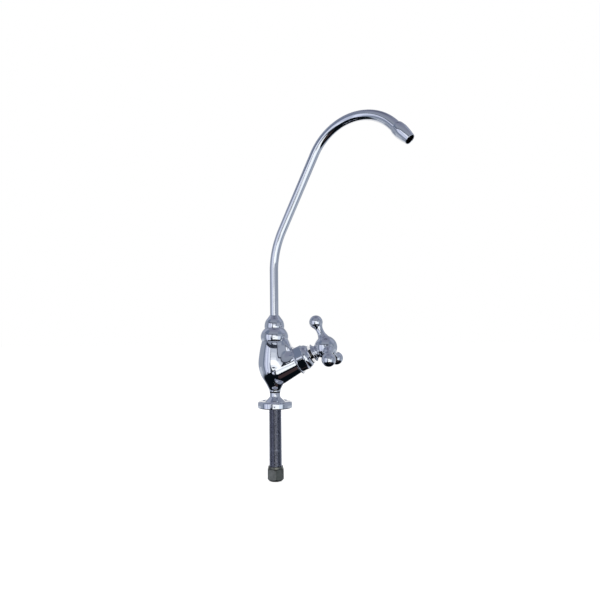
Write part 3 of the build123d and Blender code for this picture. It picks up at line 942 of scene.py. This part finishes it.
@dataclass
class CompressionNut:
    """The unpolished hexagon at the shank's foot, with its thin collar and its nose."""

    flats: float = 15.0
    top: float = -56.6
    nose: float = -66.2
    foot: float = -67.8
    nose_radius: float = 6.0
    corner_turn: float = -73.3
    waist: tuple[float, float] = (6.45, -55.6)
    collar: tuple[float, float] = (7.0, -54.3)
    hole: float = 3.5
    thread: float = 6.05

    def build(self) -> list[Piece]:
        """Chamfer a hexagon, add its collar and bore it.

        Returns:
            The nut.
        """
        turn = math.radians(self.corner_turn)
        axle = tap_axle().facing(Vector((math.cos(turn), math.sin(turn), 0)))
        corner = self.flats / 2 / math.cos(math.radians(30))
        nut = Bench.turn("compression_hexagon", block(0, corner, self.foot, self.top), axle, 6)
        across = self.flats / 2
        limit = Outline([(0, self.foot), (self.nose_radius, self.foot)])
        limit.line((across * 1.02, self.nose), (across * 1.16, self.nose + 0.9))
        limit.line((across * 1.16, self.top - 0.7), (across * 1.02, self.top), (0, self.top))
        Bench.combine(nut, Bench.turn("chamfers", limit, axle, 96), Cut.KEEP)
        waist_radius, waist_top = self.waist
        collar_radius, collar_top = self.collar
        collar = Outline([(4, self.top - 0.5), (waist_radius, self.top - 0.5)])
        collar.line((waist_radius, waist_top), (collar_radius, waist_top))
        collar.line((collar_radius, collar_top), (4, collar_top))
        Bench.combine(nut, Bench.turn("collar", collar, axle, 96), Cut.ADD)
        bore = Outline([(0, self.foot - 1), (self.hole, self.foot - 1), (self.hole, self.foot + 2.4)])
        bore.line((self.thread, self.foot + 4.6), (self.thread, collar_top + 1), (0, collar_top + 1))
        Bench.combine(nut, Bench.turn("bore", bore, axle, 96), Cut.TAKE)
        Bench.weld(nut)
        Bench.ease_edges(nut, 0.16)
        Bench.shade(nut)
        Bench.weigh(nut)
        return [Piece(nut, Body.FIXED, Slot.NUT, ("compression_nut",))]


@dataclass
class BodyCasting:
    """The pear-shaped casting: bulb, sloping branch and the web between them, run together."""

    foot: float = 15.6
    top: float = 61.9
    foot_radius: float = 5.3
    shoulder_radius: float = 12.05
    belly: Point = (15.3, 39.2)
    branch_length: float = 24.3
    branch_root: Point = (14.3, 4.5)
    branch_end: float = 11.5
    web_top: tuple[float, float, float] = (64.1, 6.3, 7.0)
    web_end: tuple[float, float] = (6.6, 7.4)
    collar_bed: tuple[Point, ...] = ((12.25, 62.35), (12.8, 64.1), (13.15, 66.9))
    spare: float = 2.0
    voxel: float = 0.42

    def _bulb(self) -> bpy.types.Object:
        """The upright part, longer at both ends than it will be."""
        low, high = self.foot - self.spare, self.top + self.spare
        shape = Outline([(0, low), (self.foot_radius - 0.15, low), (self.foot_radius, self.foot)])
        swell = self.belly[0] - self.foot_radius
        shape.curve(
            (self.foot_radius + swell * 0.23, 21.1),
            (self.foot_radius + swell * 0.77, 30.4),
            self.belly,
            (self.shoulder_radius + (self.belly[0] - self.shoulder_radius) * 0.74, 50.8),
            (self.shoulder_radius, self.top),
            leave=(0.12, 1),
            arrive=(-0.30, 1),
            steps=7,
        )
        shape.line((self.shoulder_radius - 0.6, high), (0, high))
        return Bench.turn("body_casting", shape, tap_axle(), 128)

    def _branch(self) -> bpy.types.Object:
        """The valve's branch, longer than it will be."""
        root_radius, root_reach = self.branch_root
        end = self.branch_length + self.spare
        shape = Outline([(0, 0), (root_radius - 1.2, 0)])
        shape.curve((root_radius, root_reach), leave=(1, 0.6), arrive=(0, 1), steps=6)
        shape.line((self.branch_end, self.branch_length), (self.branch_end, end), (0, end))
        return Bench.turn("branch", shape, valve_axle(), 128)

    def _web(self) -> bpy.types.Object:
        """The ridge between the crown's foot and the top of the branch's end: two circles, bridged."""
        branch = valve_axle()
        height, top_offset, top_radius = self.web_top
        end_offset, end_radius = self.web_end
        Bench.clear()
        bpy.ops.mesh.primitive_circle_add(
            vertices=64, radius=top_radius * MM, location=(top_offset * MM, 0, height * MM)
        )
        web = Bench.name("web")
        bpy.ops.object.mode_set(mode="EDIT")
        bpy.ops.mesh.primitive_circle_add(
            vertices=64,
            radius=end_radius * MM,
            location=branch.at(end_offset, self.branch_length) * MM,
            rotation=(0, math.radians(90 - 24.5), 0),
        )
        bpy.ops.mesh.select_all(action="SELECT")
        bpy.ops.mesh.bridge_edge_loops()
        bpy.ops.mesh.select_all(action="DESELECT")
        bpy.ops.mesh.select_non_manifold()
        bpy.ops.mesh.edge_face_add()
        bpy.ops.object.mode_set(mode="OBJECT")
        Bench.weld(web)
        return web

    def _flank(self, place: Vector) -> bool:
        """Whether a place is where the bulb, the branch and the web run together."""
        axle = valve_axle()
        along = (place - axle.foot).dot(axle.way)
        over = (place - axle.foot).dot(axle.out)
        return (
            over > 0.5
            and place.z < self.top - 1
            and 3 < along < self.branch_length - 1.2
            and place.x > 0.5
        )

    def build(self) -> list[Piece]:
        """Run the three forms together, relax their creases, square the ends and bore it.

        Returns:
            The casting.
        """
        branch = valve_axle()
        casting = self._bulb()
        Bench.combine(casting, self._branch(), Cut.ADD)
        Bench.combine(casting, self._web(), Cut.ADD)
        Bench.modify(casting, "REMESH", mode="VOXEL", voxel_size=self.voxel * MM)
        Bench.smooth_where(casting, self._flank, 220)
        Bench.smooth_where(casting, lambda place: True, 5)
        Bench.slice_off(casting, Vector((0, 0, self.foot)), Vector((0, 0, -1)))
        Bench.slice_off(casting, branch.at(0, self.branch_length), branch.way)
        bed = Outline([(0, self.top), (self.collar_bed[0][0], self.top), *self.collar_bed])
        bed.line((self.collar_bed[-1][0] + 4, self.collar_bed[-1][1]), (0, self.collar_bed[-1][1]))
        for name, outline, axle, how in (
            ("collar_bed", bed, tap_axle(), Cut.TAKE),
            ("crown_thread", block(0, 9.2, self.top - 0.5, 70.0), tap_axle(), Cut.ADD),
            ("spout_bore", block(0, 6.3, 48.0, 71.0), tap_axle(), Cut.TAKE),
            ("spigot_hole", block(0, 4.0, self.foot - 1, 23.2), tap_axle(), Cut.TAKE),
            ("waterway", block(0, 3.0, 23.0, 34.2), tap_axle(), Cut.TAKE),
            ("chamber", block(0, 8.0, 5.0, 17.5), branch, Cut.TAKE),
            ("branch_mouth", block(0, 9.8, 17.0, self.branch_length + 1), branch, Cut.TAKE),
        ):
            Bench.combine(casting, Bench.turn(name, outline, axle, 96), how)
        Bench.shade(casting, 38)
        return [Piece(casting, Body.FIXED, Slot.CHROME, ("tap_body",))]


@dataclass
class Crown:
    """The two domes over the body: the collar, and the nut that keeps the spout down."""

    collar_foot: Point = (12.0, 62.35)
    collar_widest: Point = (13.0, 66.9)
    collar_top: Point = (9.4, 74.2)
    opening: float = 8.0
    thread: Point = (9.2, 71.2)
    nut_radius: float = 9.3
    nut_top: Point = (4.75, 86.4)
    nut_skirt: float = 73.0
    tube_hole: float = 4.08

    def build(self) -> list[Piece]:
        """Turn both domes.

        Returns:
            The collar and the spout nut.
        """
        thread_radius, thread_top = self.thread
        collar_radius, collar_high = self.collar_top
        shape = Outline([self.collar_foot])
        shape.curve(
            self.collar_widest,
            (self.collar_widest[0] * 0.955, 69.73),
            self.collar_top,
            leave=(0.45, 1),
            arrive=(-0.95, 0.85),
            steps=10,
        )
        shape.line((self.opening, collar_high), (self.opening, thread_top))
        shape.line((thread_radius, thread_top), (thread_radius, self.collar_foot[1]))
        collar = Bench.turn("crown_collar_dome", shape, tap_axle(), 144)
        Bench.ease_edges(collar, 0.14)
        Bench.shade(collar)
        foot = collar_high
        shape = Outline([(self.nut_radius - 0.35, foot), (self.nut_radius, foot + 0.7)])
        shape.curve(
            (self.nut_radius * 0.995, foot + 3.29),
            (self.nut_radius * 0.88, foot + 7.32),
            (self.nut_radius * 0.66, foot + 10.13),
            self.nut_top,
            leave=(0.05, 1),
            arrive=(-0.12, 1),
            steps=9,
        )
        shape.line((self.tube_hole, self.nut_top[1]), (self.tube_hole, self.nut_skirt))
        shape.line((self.opening, self.nut_skirt), (self.opening, foot))
        nut = Bench.turn("spout_nut_dome", shape, tap_axle(), 144)
        Bench.ease_edges(nut, 0.1)
        Bench.shade(nut)
        return [
            Piece(collar, Body.FIXED, Slot.CHROME, ("crown_collar",)),
            Piece(nut, Body.FIXED, Slot.CHROME, ("spout_nut",)),
        ]


@dataclass
class SwanNeck:
    """The bent tube with its opened-out end, and the bulged nozzle on it."""

    tube_radius: float = 4.0
    wall: float = 0.8
    foot: float = 54.3
    bend_start: float = 127.4
    bend_radius: float = 75.0
    lean: float = 29.1
    lean_length: float = 72.7
    arch_radius: float = 45.5
    arch_turn: float = 72.0
    flare_turn: float = 36.2
    flare_radius: float = 4.6
    tail: float = 11.5
    nozzle_start: float = 3.6
    nozzle_end: float = 21.2
    sides: int = 64

    def way(self, degrees: float) -> Vector:
        """The tube's direction once it has turned this far from upright."""
        swing = math.radians(degrees)
        return Vector((0, 0, 1)) * math.cos(swing) + spout_out() * math.sin(swing)

    def side(self, degrees: float) -> Vector:
        """Square to the tube, towards the inside of its bends."""
        return self.way(degrees + 90)

    def _bend(self, centre: Vector, degrees: float, steps: int) -> None:
        """Spin the selected ring round a centre, in the plane of the neck.

        Args:
            centre: the bend's centre, in millimetres.
            degrees: how far the tube turns.
            steps: rings in the bend.
        """
        axis = Vector((0, 0, 1)).cross(spout_out())
        bpy.ops.mesh.spin(
            steps=steps, angle=-math.radians(degrees), center=centre * MM, axis=axis
        )

    def _run(self, way: Vector, length: float, steps: int) -> None:
        """Extrude the selected ring straight on."""
        for _ in range(steps):
            bpy.ops.mesh.extrude_region_move(
                TRANSFORM_OT_translate={"value": way * (length / steps * MM)}
            )

    def tail_point(self) -> Vector:
        """Where the arch ends and the straight tail begins, in millimetres."""
        return self._arch_centre() - self.side(self.lean + self.arch_turn + self.flare_turn) * self.arch_radius

    def _arch_centre(self) -> Vector:
        """The centre of the arch."""
        bend_centre = Vector((0, 0, self.bend_start)) + spout_out() * self.bend_radius
        lean_start = bend_centre - self.side(self.lean) * self.bend_radius
        return lean_start + self.way(self.lean) * self.lean_length + self.side(self.lean) * self.arch_radius

    def _tube(self) -> bpy.types.Object:
        """Draw the tube's ring along the neck, opening it out over the last of the arch."""
        Bench.clear()
        bpy.ops.mesh.primitive_circle_add(
            vertices=self.sides, radius=self.tube_radius * MM, location=(0, 0, self.foot * MM)
        )
        tube = Bench.name("swan_neck_tube")
        bpy.ops.object.mode_set(mode="EDIT")
        bpy.ops.mesh.select_all(action="SELECT")
        self._run(Vector((0, 0, 1)), self.bend_start - self.foot, 6)
        bend_centre = Vector((0, 0, self.bend_start)) + spout_out() * self.bend_radius
        self._bend(bend_centre, self.lean, 26)
        self._run(self.way(self.lean), self.lean_length, 6)
        centre = self._arch_centre()
        self._bend(centre, self.arch_turn, 56)
        rings = 28
        for ring in range(1, rings + 1):
            self._bend(centre, self.flare_turn / rings, 1)
            turned = self.lean + self.arch_turn + self.flare_turn * ring / rings
            middle = centre - self.side(turned) * self.arch_radius
            growth = self._flare(ring / rings) / self._flare((ring - 1) / rings)
            bpy.ops.transform.resize(value=(growth, growth, growth), center_override=middle * MM)
        self._run(self.way(turned), self.tail, 2)
        bpy.ops.object.mode_set(mode="OBJECT")
        Bench.weld(tube)
        Bench.modify(tube, "SOLIDIFY", thickness=self.wall * MM, offset=-1.0, use_even_offset=True)
        Bench.weld(tube)
        Bench.shade(tube)
        return tube

    def _flare(self, share: float) -> float:
        """The tube's radius part of the way along its flare."""
        return self.tube_radius + (self.flare_radius - self.tube_radius) * share

    def _nozzle(self) -> bpy.types.Object:
        """Turn the nozzle about the tail of the tube."""
        way = self.way(self.lean + self.arch_turn + self.flare_turn)
        axle = Axle(self.tail_point(), way, self.way(self.lean + self.arch_turn + self.flare_turn - 90))
        end = self.nozzle_end
        shape = Outline([(self.flare_radius + 0.02, self.nozzle_start)])
        shape.line((self.flare_radius + 0.1, self.nozzle_start))
        shape.curve(
            (5.75, 8.2), (5.3, 15.2), (4.35, end - 0.3), leave=(0.9, 1), arrive=(-0.16, 1), steps=10
        )
        shape.curve((3.95, end), leave=(-0.1, 1), arrive=(-1, 0.05), steps=4)
        shape.curve((3.75, end - 0.4), leave=(-1, -0.1), arrive=(0, -1), steps=3)
        shape.line((3.75, self.tail), (self.flare_radius + 0.02, self.tail))
        nozzle = Bench.turn("spout_nozzle_tip", shape, axle, 112)
        Bench.shade(nozzle)
        return nozzle

    def build(self) -> list[Piece]:
        """Make the tube and the nozzle.

        Returns:
            Both pieces.
        """
        return [
            Piece(self._tube(), Body.NECK, Slot.CHROME, ("spout_tube",)),
            Piece(self._nozzle(), Body.NECK, Slot.CHROME, ("spout_nozzle",)),
        ]


@dataclass
class Bonnet:
    """The bonnet nut: thin lip, chamfered hexagon, dome and end ring, turned in one piece."""

    flats: float = 23.0
    corner_round: float = 5.0
    lip_radius: float = 13.5
    lip: tuple[float, float] = (24.3, 25.6)
    hex_end: float = 33.2
    dome_radius: float = 10.9
    dome_end: float = 37.6
    end_radius: float = 8.7
    end: float = 38.5
    stem_hole: float = 4.58

    def build(self) -> list[Piece]:
        """Chamfer the hexagon, add what is turned, and bore it.

        Returns:
            The nut.
        """
        axle = valve_axle()
        lip_low, lip_high = self.lip
        slant = math.cos(math.radians(30))
        sharp = self.flats / 2 / slant
        towards_front = axle.facing(Vector((0, -1, 0)))
        nut = Bench.turn(
            "bonnet_hexagon", block(0, sharp, lip_low - 6, self.hex_end + 6), towards_front, 6
        )
        Bench.ease_edges(nut, self.corner_round * math.tan(math.radians(30)), 10)
        corner = (self.flats / 2 - self.corner_round) / slant + self.corner_round
        limit = Outline([(0, lip_high - 0.2), (corner - 0.9, lip_high - 0.2)])
        limit.line((corner - 0.9, lip_high), (corner, lip_high + 0.8), (corner, self.hex_end - 1.1))
        limit.line((corner - 1.5, self.hex_end), (0, self.hex_end))
        Bench.combine(nut, Bench.turn("chamfers", limit, axle, 128), Cut.KEEP)
        turned = Outline([(0, 18.8), (9.75, 18.8), (9.75, lip_low), (self.lip_radius - 0.3, lip_low)])
        turned.line((self.lip_radius, lip_low + 0.3), (self.lip_radius, lip_high - 0.3))
        turned.line((self.lip_radius - 0.3, lip_high), (self.dome_radius - 1, lip_high))
        turned.line((self.dome_radius - 1, self.hex_end - 0.3), (self.dome_radius, self.hex_end - 0.3))
        turned.line((self.dome_radius, self.hex_end))
        turned.curve((self.end_radius - 0.4, self.dome_end), leave=(0.1, 1), arrive=(-0.9, 0.6))
        turned.line((self.end_radius, self.dome_end), (self.end_radius, self.end), (0, self.end))
        Bench.combine(nut, Bench.turn("turned_parts", turned, axle, 128), Cut.ADD)
        Bench.combine(nut, Bench.turn("cavity", block(0, 7.2, 18.0, 32.2), axle, 96), Cut.TAKE)
        hole = block(0, self.stem_hole, 20.0, self.end + 1)
        Bench.combine(nut, Bench.turn("stem_hole", hole, axle, 96), Cut.TAKE)
        Bench.weld(nut)
        Bench.ease_edges(nut, 0.15)
        Bench.shade(nut)
        Bench.weigh(nut)
        return [Piece(nut, Body.FIXED, Slot.CHROME, ("bonnet_nut",))]


@dataclass
class CrossHandle:
    """The handle: a turned hub with three arms that swell into balls, one casting."""

    back: float = 40.7
    skirt_radius: float = 8.4
    skirt_end: float = 42.0
    waist: Point = (5.9, 43.3)
    hub_radius: float = 10.6
    arm_place: float = 54.8
    front: float = 64.0
    reach: float = 24.7
    knob_radius: float = 6.3
    arm_waist: float = 3.35
    arms: int = 3
    socket: tuple[float, float] = (3.85, 51.0)
    voxel: float = 0.3

    def _hub(self) -> bpy.types.Object:
        """Turn the hub about the valve's axis."""
        shape = Outline([(0, self.back), (self.skirt_radius - 0.3, self.back)])
        shape.line((self.skirt_radius, self.back + 0.3), (self.skirt_radius, self.skirt_end - 0.3))
        shape.line((self.skirt_radius - 0.5, self.skirt_end))
        centre = self.front - self.hub_radius
        ball = [
            (self.hub_radius * math.sin(swing), centre + self.hub_radius * math.cos(swing))
            for swing in (math.radians(135 - 5 * step) for step in range(28))
        ]
        shape.curve(self.waist, ball[0], leave=(-1, 0.3), arrive=(1, 1), steps=8)
        shape.line(*ball[1:])
        return Bench.turn("cross_handle", shape, valve_axle(), 128)

    def _arm(self, turn: float) -> bpy.types.Object:
        """Turn one arm with its ball about its own axis.

        Args:
            turn: the arm's place round the hub, in degrees from the crown's side.

        Returns:
            The arm.
        """
        valve = valve_axle()
        across = valve.way.cross(valve.out)
        swing = math.radians(turn)
        way = valve.out * math.cos(swing) + across * math.sin(swing)
        axle = Axle(valve.at(0, self.arm_place), way, valve.way)
        shape = Outline([(0, 4.0), (6.8, 4.0)])
        shape.curve(
            (5.0, 9.0),
            (3.7, 12.4),
            (self.arm_waist, 15.2),
            (3.75, 18.6),
            (4.75, self.reach - 4.15),
            leave=(-0.25, 1),
            arrive=(0.62, 0.72),
            steps=6,
        )
        start = math.acos(-4.15 / self.knob_radius)
        for step in range(1, 19):
            swing = start * (1 - step / 18)
            shape.line(
                (self.knob_radius * math.sin(swing), self.reach + self.knob_radius * math.cos(swing))
            )
        return Bench.turn("arm", shape, axle, 64)

    def build(self) -> list[Piece]:
        """Join the arms to the hub, run the joints together and bore the socket.

        Returns:
            The handle.
        """
        valve = valve_axle()
        handle = self._hub()
        for arm in range(self.arms):
            Bench.combine(handle, self._arm(360 / self.arms * arm), Cut.ADD)
        Bench.modify(handle, "REMESH", mode="VOXEL", voxel_size=self.voxel * MM)

        def at_root(place: Vector) -> bool:
            along = (place - valve.foot).dot(valve.way)
            off = (place - valve.foot - valve.way * along).length
            return 8.0 < off < 13.0 and abs(along - self.arm_place) < 8

        Bench.smooth_where(handle, at_root, 12)
        Bench.smooth_where(handle, lambda place: True, 5)
        socket_radius, socket_end = self.socket
        hole = block(0, socket_radius, self.back - 1, socket_end)
        Bench.combine(handle, Bench.turn("stem_socket", hole, valve, 64), Cut.TAKE)
        grub_axle = Axle(valve.at(0, self.back + 2.9), -valve.out, valve.way)
        grub_hole = Bench.turn("grub_hole", block(0, 1.5, 3.0, 12.0), grub_axle, 32)
        Bench.combine(handle, grub_hole, Cut.TAKE)
        Bench.shade(handle, 38)
        return [Piece(handle, Body.VALVE, Slot.CHROME, ("handle",))]


@dataclass(frozen=True)
class Panel:
    """A card of the light tent: the part of a wide dome that it covers, and how bright it is."""

    name: str
    turn: tuple[float, float]
    height: tuple[float, float]
    tint: Colour
    distance: float = 1.9


@dataclass
class Studio:
    """Camera, lamps, floor and the light tent that the plate reflects."""

    front: float = -76.6
    lens: float = 28.84
    distance: float = 0.450
    eye: float = 0.0604
    slide: float = 0.0238
    rise: float = 0.0717
    roll: float = 0.5
    floor_gap: float = 0.0004
    sky: tuple[tuple[float, Colour], ...] = (
        (-1.0, (0.002, 0.004, 0.006)),
        (-0.55, (0.004, 0.006, 0.009)),
        (-0.49, (0.12, 0.14, 0.17)),
        (-0.43, (0.34, 0.38, 0.46)),
        (0.30, (0.34, 0.38, 0.46)),
        (0.50, (0.27, 0.30, 0.37)),
        (0.70, (0.31, 0.345, 0.415)),
        (0.86, (0.26, 0.28, 0.36)),
        (0.96, (0.24, 0.26, 0.35)),
        (0.997, (0.11, 0.12, 0.17)),
    )
    panels: tuple[Panel, ...] = (
        Panel("frame_left", (-86, -73), (-32, 27), (0.2, 0.24, 0.32)),
        Panel("left_edge", (-73, -62), (-34, 24), (0.56, 0.6, 0.74)),
        Panel("left_light", (-62, -53), (-30, 24), (0.81, 0.87, 1.05)),
        Panel("left_fold", (-53, -44), (-34, 24), (0.56, 0.61, 0.76)),
        Panel("left_bright", (-44, -33), (-34, 24), (0.82, 0.88, 1.02)),
        Panel("inner_high", (-33, -21), (3, 24), (0.92, 0.98, 1.1)),
        Panel("inner_low", (-33, -21), (-12, 3), (0.5, 0.54, 0.64)),
        Panel("post_low", (-28, -21), (-36, -12), (0.05, 0.06, 0.08)),
        Panel("post", (-21, -14), (-36, 24), (0.02, 0.025, 0.035)),
        Panel("middle_top", (-14, 10), (19, 24), (0.6, 0.65, 0.74)),
        Panel("middle_high", (-14, 10), (14, 19), (0.74, 0.79, 0.87)),
        Panel("middle_step", (-14, 10), (10, 14), (0.95, 1.0, 1.07)),
        Panel("middle", (-14, 10), (-3, 10), (1.3, 1.34, 1.36)),
        Panel("camera_gap", (-5, 3), (-14, -8), (0.12, 0.13, 0.16)),
        Panel("over_gap", (-5, 3), (-8, -3), (1.1, 1.15, 1.2)),
        Panel("beside_gap", (3, 10), (-13, -3), (1.1, 1.15, 1.2)),
        Panel("left_of_gap", (-14, -5), (-13, -3), (0.9, 0.95, 1.0)),
        Panel("middle_low", (-14, 10), (-30, -13), (1.2, 1.25, 1.25)),
        Panel("right_bright", (10, 30), (-31, 6), (1.2, 1.25, 1.25)),
        Panel("right_light", (30, 50), (-31, 4), (0.86, 0.95, 1.06)),
        Panel("right_edge", (50, 57), (-31, 4), (0.6, 0.67, 0.76)),
        Panel("right_fade", (10, 20), (6, 24), (0.6, 0.65, 0.74)),
        Panel("frame_upright", (20, 26), (6, 24), (0.06, 0.07, 0.1)),
        Panel("right_high", (26, 72), (6, 24), (0.38, 0.42, 0.5)),
        Panel("frame_right", (57, 66), (-32, 4), (0.16, 0.2, 0.25)),
        Panel("frame_right_high", (72, 84), (8, 27), (0.2, 0.24, 0.3)),
        Panel("frame_top", (-74, 26), (24, 28.5), (0.03, 0.035, 0.05)),
        Panel("shade_left", (-97, -56), (30, 58), (0.18, 0.22, 0.31)),
        Panel("shade_right", (38, 72), (28, 52), (0.22, 0.26, 0.35)),
        Panel("glow_left", (-142, -104), (24, 60), (0.38, 0.42, 0.53)),
        Panel("glow_right", (84, 126), (27, 62), (0.37, 0.41, 0.52)),
        Panel("low_glow_left", (-150, -106), (-22, -8), (0.55, 0.6, 0.68)),
        Panel("low_glow_right", (94, 150), (-22, -8), (0.5, 0.55, 0.62)),
        Panel("brown_table", (4, 58), (-64, -43), (0.05, 0.033, 0.034)),
        Panel("window_back", (152, 208), (-27, 24), (0.9, 0.9, 0.9)),
    )

    def camera(self) -> None:
        """Stand the camera where the photograph was taken from."""
        data = bpy.data.cameras.new("photo_camera")
        data.lens = self.lens
        data.sensor_width = 36.0
        data.shift_y = self.rise
        data.clip_start = 0.01
        camera = bpy.data.objects.new("photo_camera", data)
        bpy.context.scene.collection.objects.link(camera)
        turn = math.radians(self.front)
        back = Vector((math.cos(turn), math.sin(turn), 0))
        right = Vector((-back.y, back.x, 0))
        roll = math.radians(self.roll)
        side = right * math.cos(roll) - Vector((0, 0, 1)) * math.sin(roll)
        top = Vector((0, 0, 1)) * math.cos(roll) + right * math.sin(roll)
        place = Vector((0, 0, self.eye)) + back * self.distance + right * self.slide
        frame = Matrix((side, top, back)).transposed().to_4x4()
        camera.matrix_world = Matrix.Translation(place) @ frame
        bpy.context.scene.camera = camera

    def lamps(self) -> None:
        """Hang two broad soft lamps, which the plate itself doesn't see."""
        for name, place, size, power in (
            ("key_lamp", (-0.7, -0.9, 1.1), 0.9, 9.0),
            ("fill_lamp", (1.0, -0.8, 0.7), 0.9, 4.0),
            ("back_lamp", (0.2, 1.1, 0.9), 0.9, 4.0),
        ):
            data = bpy.data.lights.new(name, "AREA")
            data.size = size
            data.energy = power
            lamp = bpy.data.objects.new(name, data)
            bpy.context.scene.collection.objects.link(lamp)
            lamp.location = place
            aim = Vector((0.03, 0, 0.08)) - Vector(place)
            lamp.rotation_euler = aim.to_track_quat("-Z", "Y").to_euler()
            lamp.visible_glossy = False

    @staticmethod
    def _seen_directly(graph: Graph) -> bpy.types.NodeSocket:
        """One for a ray from the camera, a mirror or glass, and otherwise nothing."""
        path = graph.add("ShaderNodeLightPath")
        mirror = graph.sum(path.outputs["Is Camera Ray"], path.outputs["Is Glossy Ray"], clamp=True)
        return graph.sum(mirror, path.outputs["Is Transmission Ray"], clamp=True)

    def world(self) -> None:
        """White where it is seen, and a level grey where it lights."""
        world = bpy.data.worlds.new("studio_world")
        world.use_nodes = True
        bpy.context.scene.world = world
        graph = Graph(world.node_tree)
        background = world.node_tree.nodes["Background"]
        mix = graph.add("ShaderNodeMix", data_type="RGBA")
        graph.link(self._seen_directly(graph), mix.inputs[0])
        mix.inputs[6].default_value = (0.5, 0.5, 0.52, 1.0)
        mix.inputs[7].default_value = (1.0, 1.0, 1.0, 1.0)
        graph.link(mix.outputs[2], background.inputs["Color"])

    def floor(self, height: float) -> None:
        """Lay a wide pale floor that keeps the tap's shadow.

        Args:
            height: the tap's lowest point, in metres.
        """
        Bench.clear()
        bpy.ops.mesh.primitive_grid_add(
            x_subdivisions=4, y_subdivisions=4, size=60.0, location=(0, 0, height - self.floor_gap)
        )
        floor = Bench.name("studio_floor")
        material = bpy.data.materials.new("pale_floor")
        material.use_nodes = True
        graph = Graph(material.node_tree)
        shader = material.node_tree.nodes["Principled BSDF"]
        glow = graph.sum(self._seen_directly(graph), 0.74, "MULTIPLY")
        graph.feed(
            shader,
            Base_Color=(0.62, 0.62, 0.62, 1.0),
            Roughness=0.9,
            Specular_IOR_Level=0.0,
            Emission_Color=(1.0, 1.0, 1.0, 1.0),
            Emission_Strength=glow,
        )
        floor.data.materials.append(material)
        floor.visible_glossy = False
        floor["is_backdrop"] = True

    def _shell(self, panel: Panel, steps: int) -> bpy.types.Object:
        """Spin an upright arc round the tap.

        Args:
            panel: the part of the dome to cover.
            steps: faces across it.

        Returns:
            The open shell.
        """
        low, high = (math.radians(angle) for angle in panel.height)
        first = math.radians(self.front + panel.turn[0])
        out = Vector((math.cos(first), math.sin(first), 0))
        reach = panel.distance / MM
        places = []
        for step in range(steps + 1):
            rise = low + (high - low) * step / steps
            places.append((out * math.cos(rise) + Vector((0, 0, 1)) * math.sin(rise)) * reach)
        shell = Bench.draw(panel.name, places)
        bpy.ops.mesh.select_all(action="SELECT")
        bpy.ops.mesh.spin(
            steps=steps * 2,
            angle=-math.radians(panel.turn[1] - panel.turn[0]),
            center=(0, 0, 0),
            axis=(0, 0, 1),
        )
        bpy.ops.object.mode_set(mode="OBJECT")
        Bench.weld(shell, 1e-5)
        return shell

    def _card(self, shell: bpy.types.Object, material: bpy.types.Material) -> None:
        """Let only mirrors see a shell, with its own glow.

        Args:
            shell: the card.
            material: its glow.
        """
        material.cycles.emission_sampling = "NONE"
        shell.data.materials.append(material)
        shell.visible_camera = False
        shell.visible_diffuse = False
        shell.visible_transmission = False
        shell.visible_volume_scatter = False
        shell.visible_shadow = False
        shell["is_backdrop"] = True

    def tent(self) -> None:
        """Stand the tent round the tap: a grey dome, dark below, with white windows."""
        dome = Panel("tent_dome", (0, 360), (-89.9, 89.9), (1, 1, 1), 2.0)
        material = bpy.data.materials.new("tent_cloth")
        material.use_nodes = True
        graph = Graph(material.node_tree)
        material.node_tree.nodes.remove(material.node_tree.nodes["Principled BSDF"])
        split = graph.add("ShaderNodeSeparateXYZ")
        graph.link(graph.add("ShaderNodeTexCoord").outputs["Object"], split.inputs[0])
        level = graph.span(split.outputs["Z"], -dome.distance, dome.distance, 0.0, 1.0)
        ramp = graph.add("ShaderNodeValToRGB")
        graph.link(level, ramp.inputs[0])
        stops = ramp.color_ramp.elements
        while len(stops) < len(self.sky):
            stops.new(0.5)
        for stop, (height, colour) in zip(stops, self.sky):
            stop.position = (height + 1) / 2
        for stop, (height, colour) in zip(stops, self.sky):
            stop.color = (*colour, 1.0)
        glow = graph.add("ShaderNodeEmission")
        graph.link(ramp.outputs[0], glow.inputs["Color"])
        graph.link(glow.outputs[0], material.node_tree.nodes["Material Output"].inputs["Surface"])
        self._card(self._shell(dome, 32), material)
        for panel in self.panels:
            white = bpy.data.materials.new(panel.name)
            white.use_nodes = True
            shader = white.node_tree.nodes["Principled BSDF"]
            Graph(white.node_tree).feed(
                shader,
                Base_Color=(0.0, 0.0, 0.0, 1.0),
                Specular_IOR_Level=0.0,
                Emission_Color=(*panel.tint, 1.0),
                Emission_Strength=1.0,
            )
            self._card(self._shell(panel, 12), white)

    def build(self, lowest: float) -> None:
        """Set up the whole studio.

        Args:
            lowest: the tap's lowest point, in metres.
        """
        bpy.context.scene.view_settings.view_transform = "Standard"
        self.camera()
        self.lamps()
        self.world()
        self.floor(lowest)
        self.tent()


def main() -> None:
    """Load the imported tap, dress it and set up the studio."""
    logging.basicConfig(level=logging.INFO, format="%(name)s: %(message)s")
    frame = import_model()
    cad_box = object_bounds()
    Bench.clear()
    shop = PaintShop()
    shop.dress_nodes(frame)
    for assembly in (
        DeckFlange(),
        Shank(),
        CompressionNut(),
        BodyCasting(),
        Crown(),
        SwanNeck(),
        Bonnet(),
        CrossHandle(),
    ):
        for piece in assembly.build():
            shop.coat(piece.made, piece.slot)
            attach(piece.made, piece.body.value)
            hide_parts(*piece.stands_for)
            LOG.info(
                "%s: %d faces for %s", piece.made.name, len(piece.made.data.polygons),
                ", ".join(piece.stands_for),
            )
    Studio().build(cad_box[0].z)
    Bench.clear()


if __name__ == "__main__":
    main()
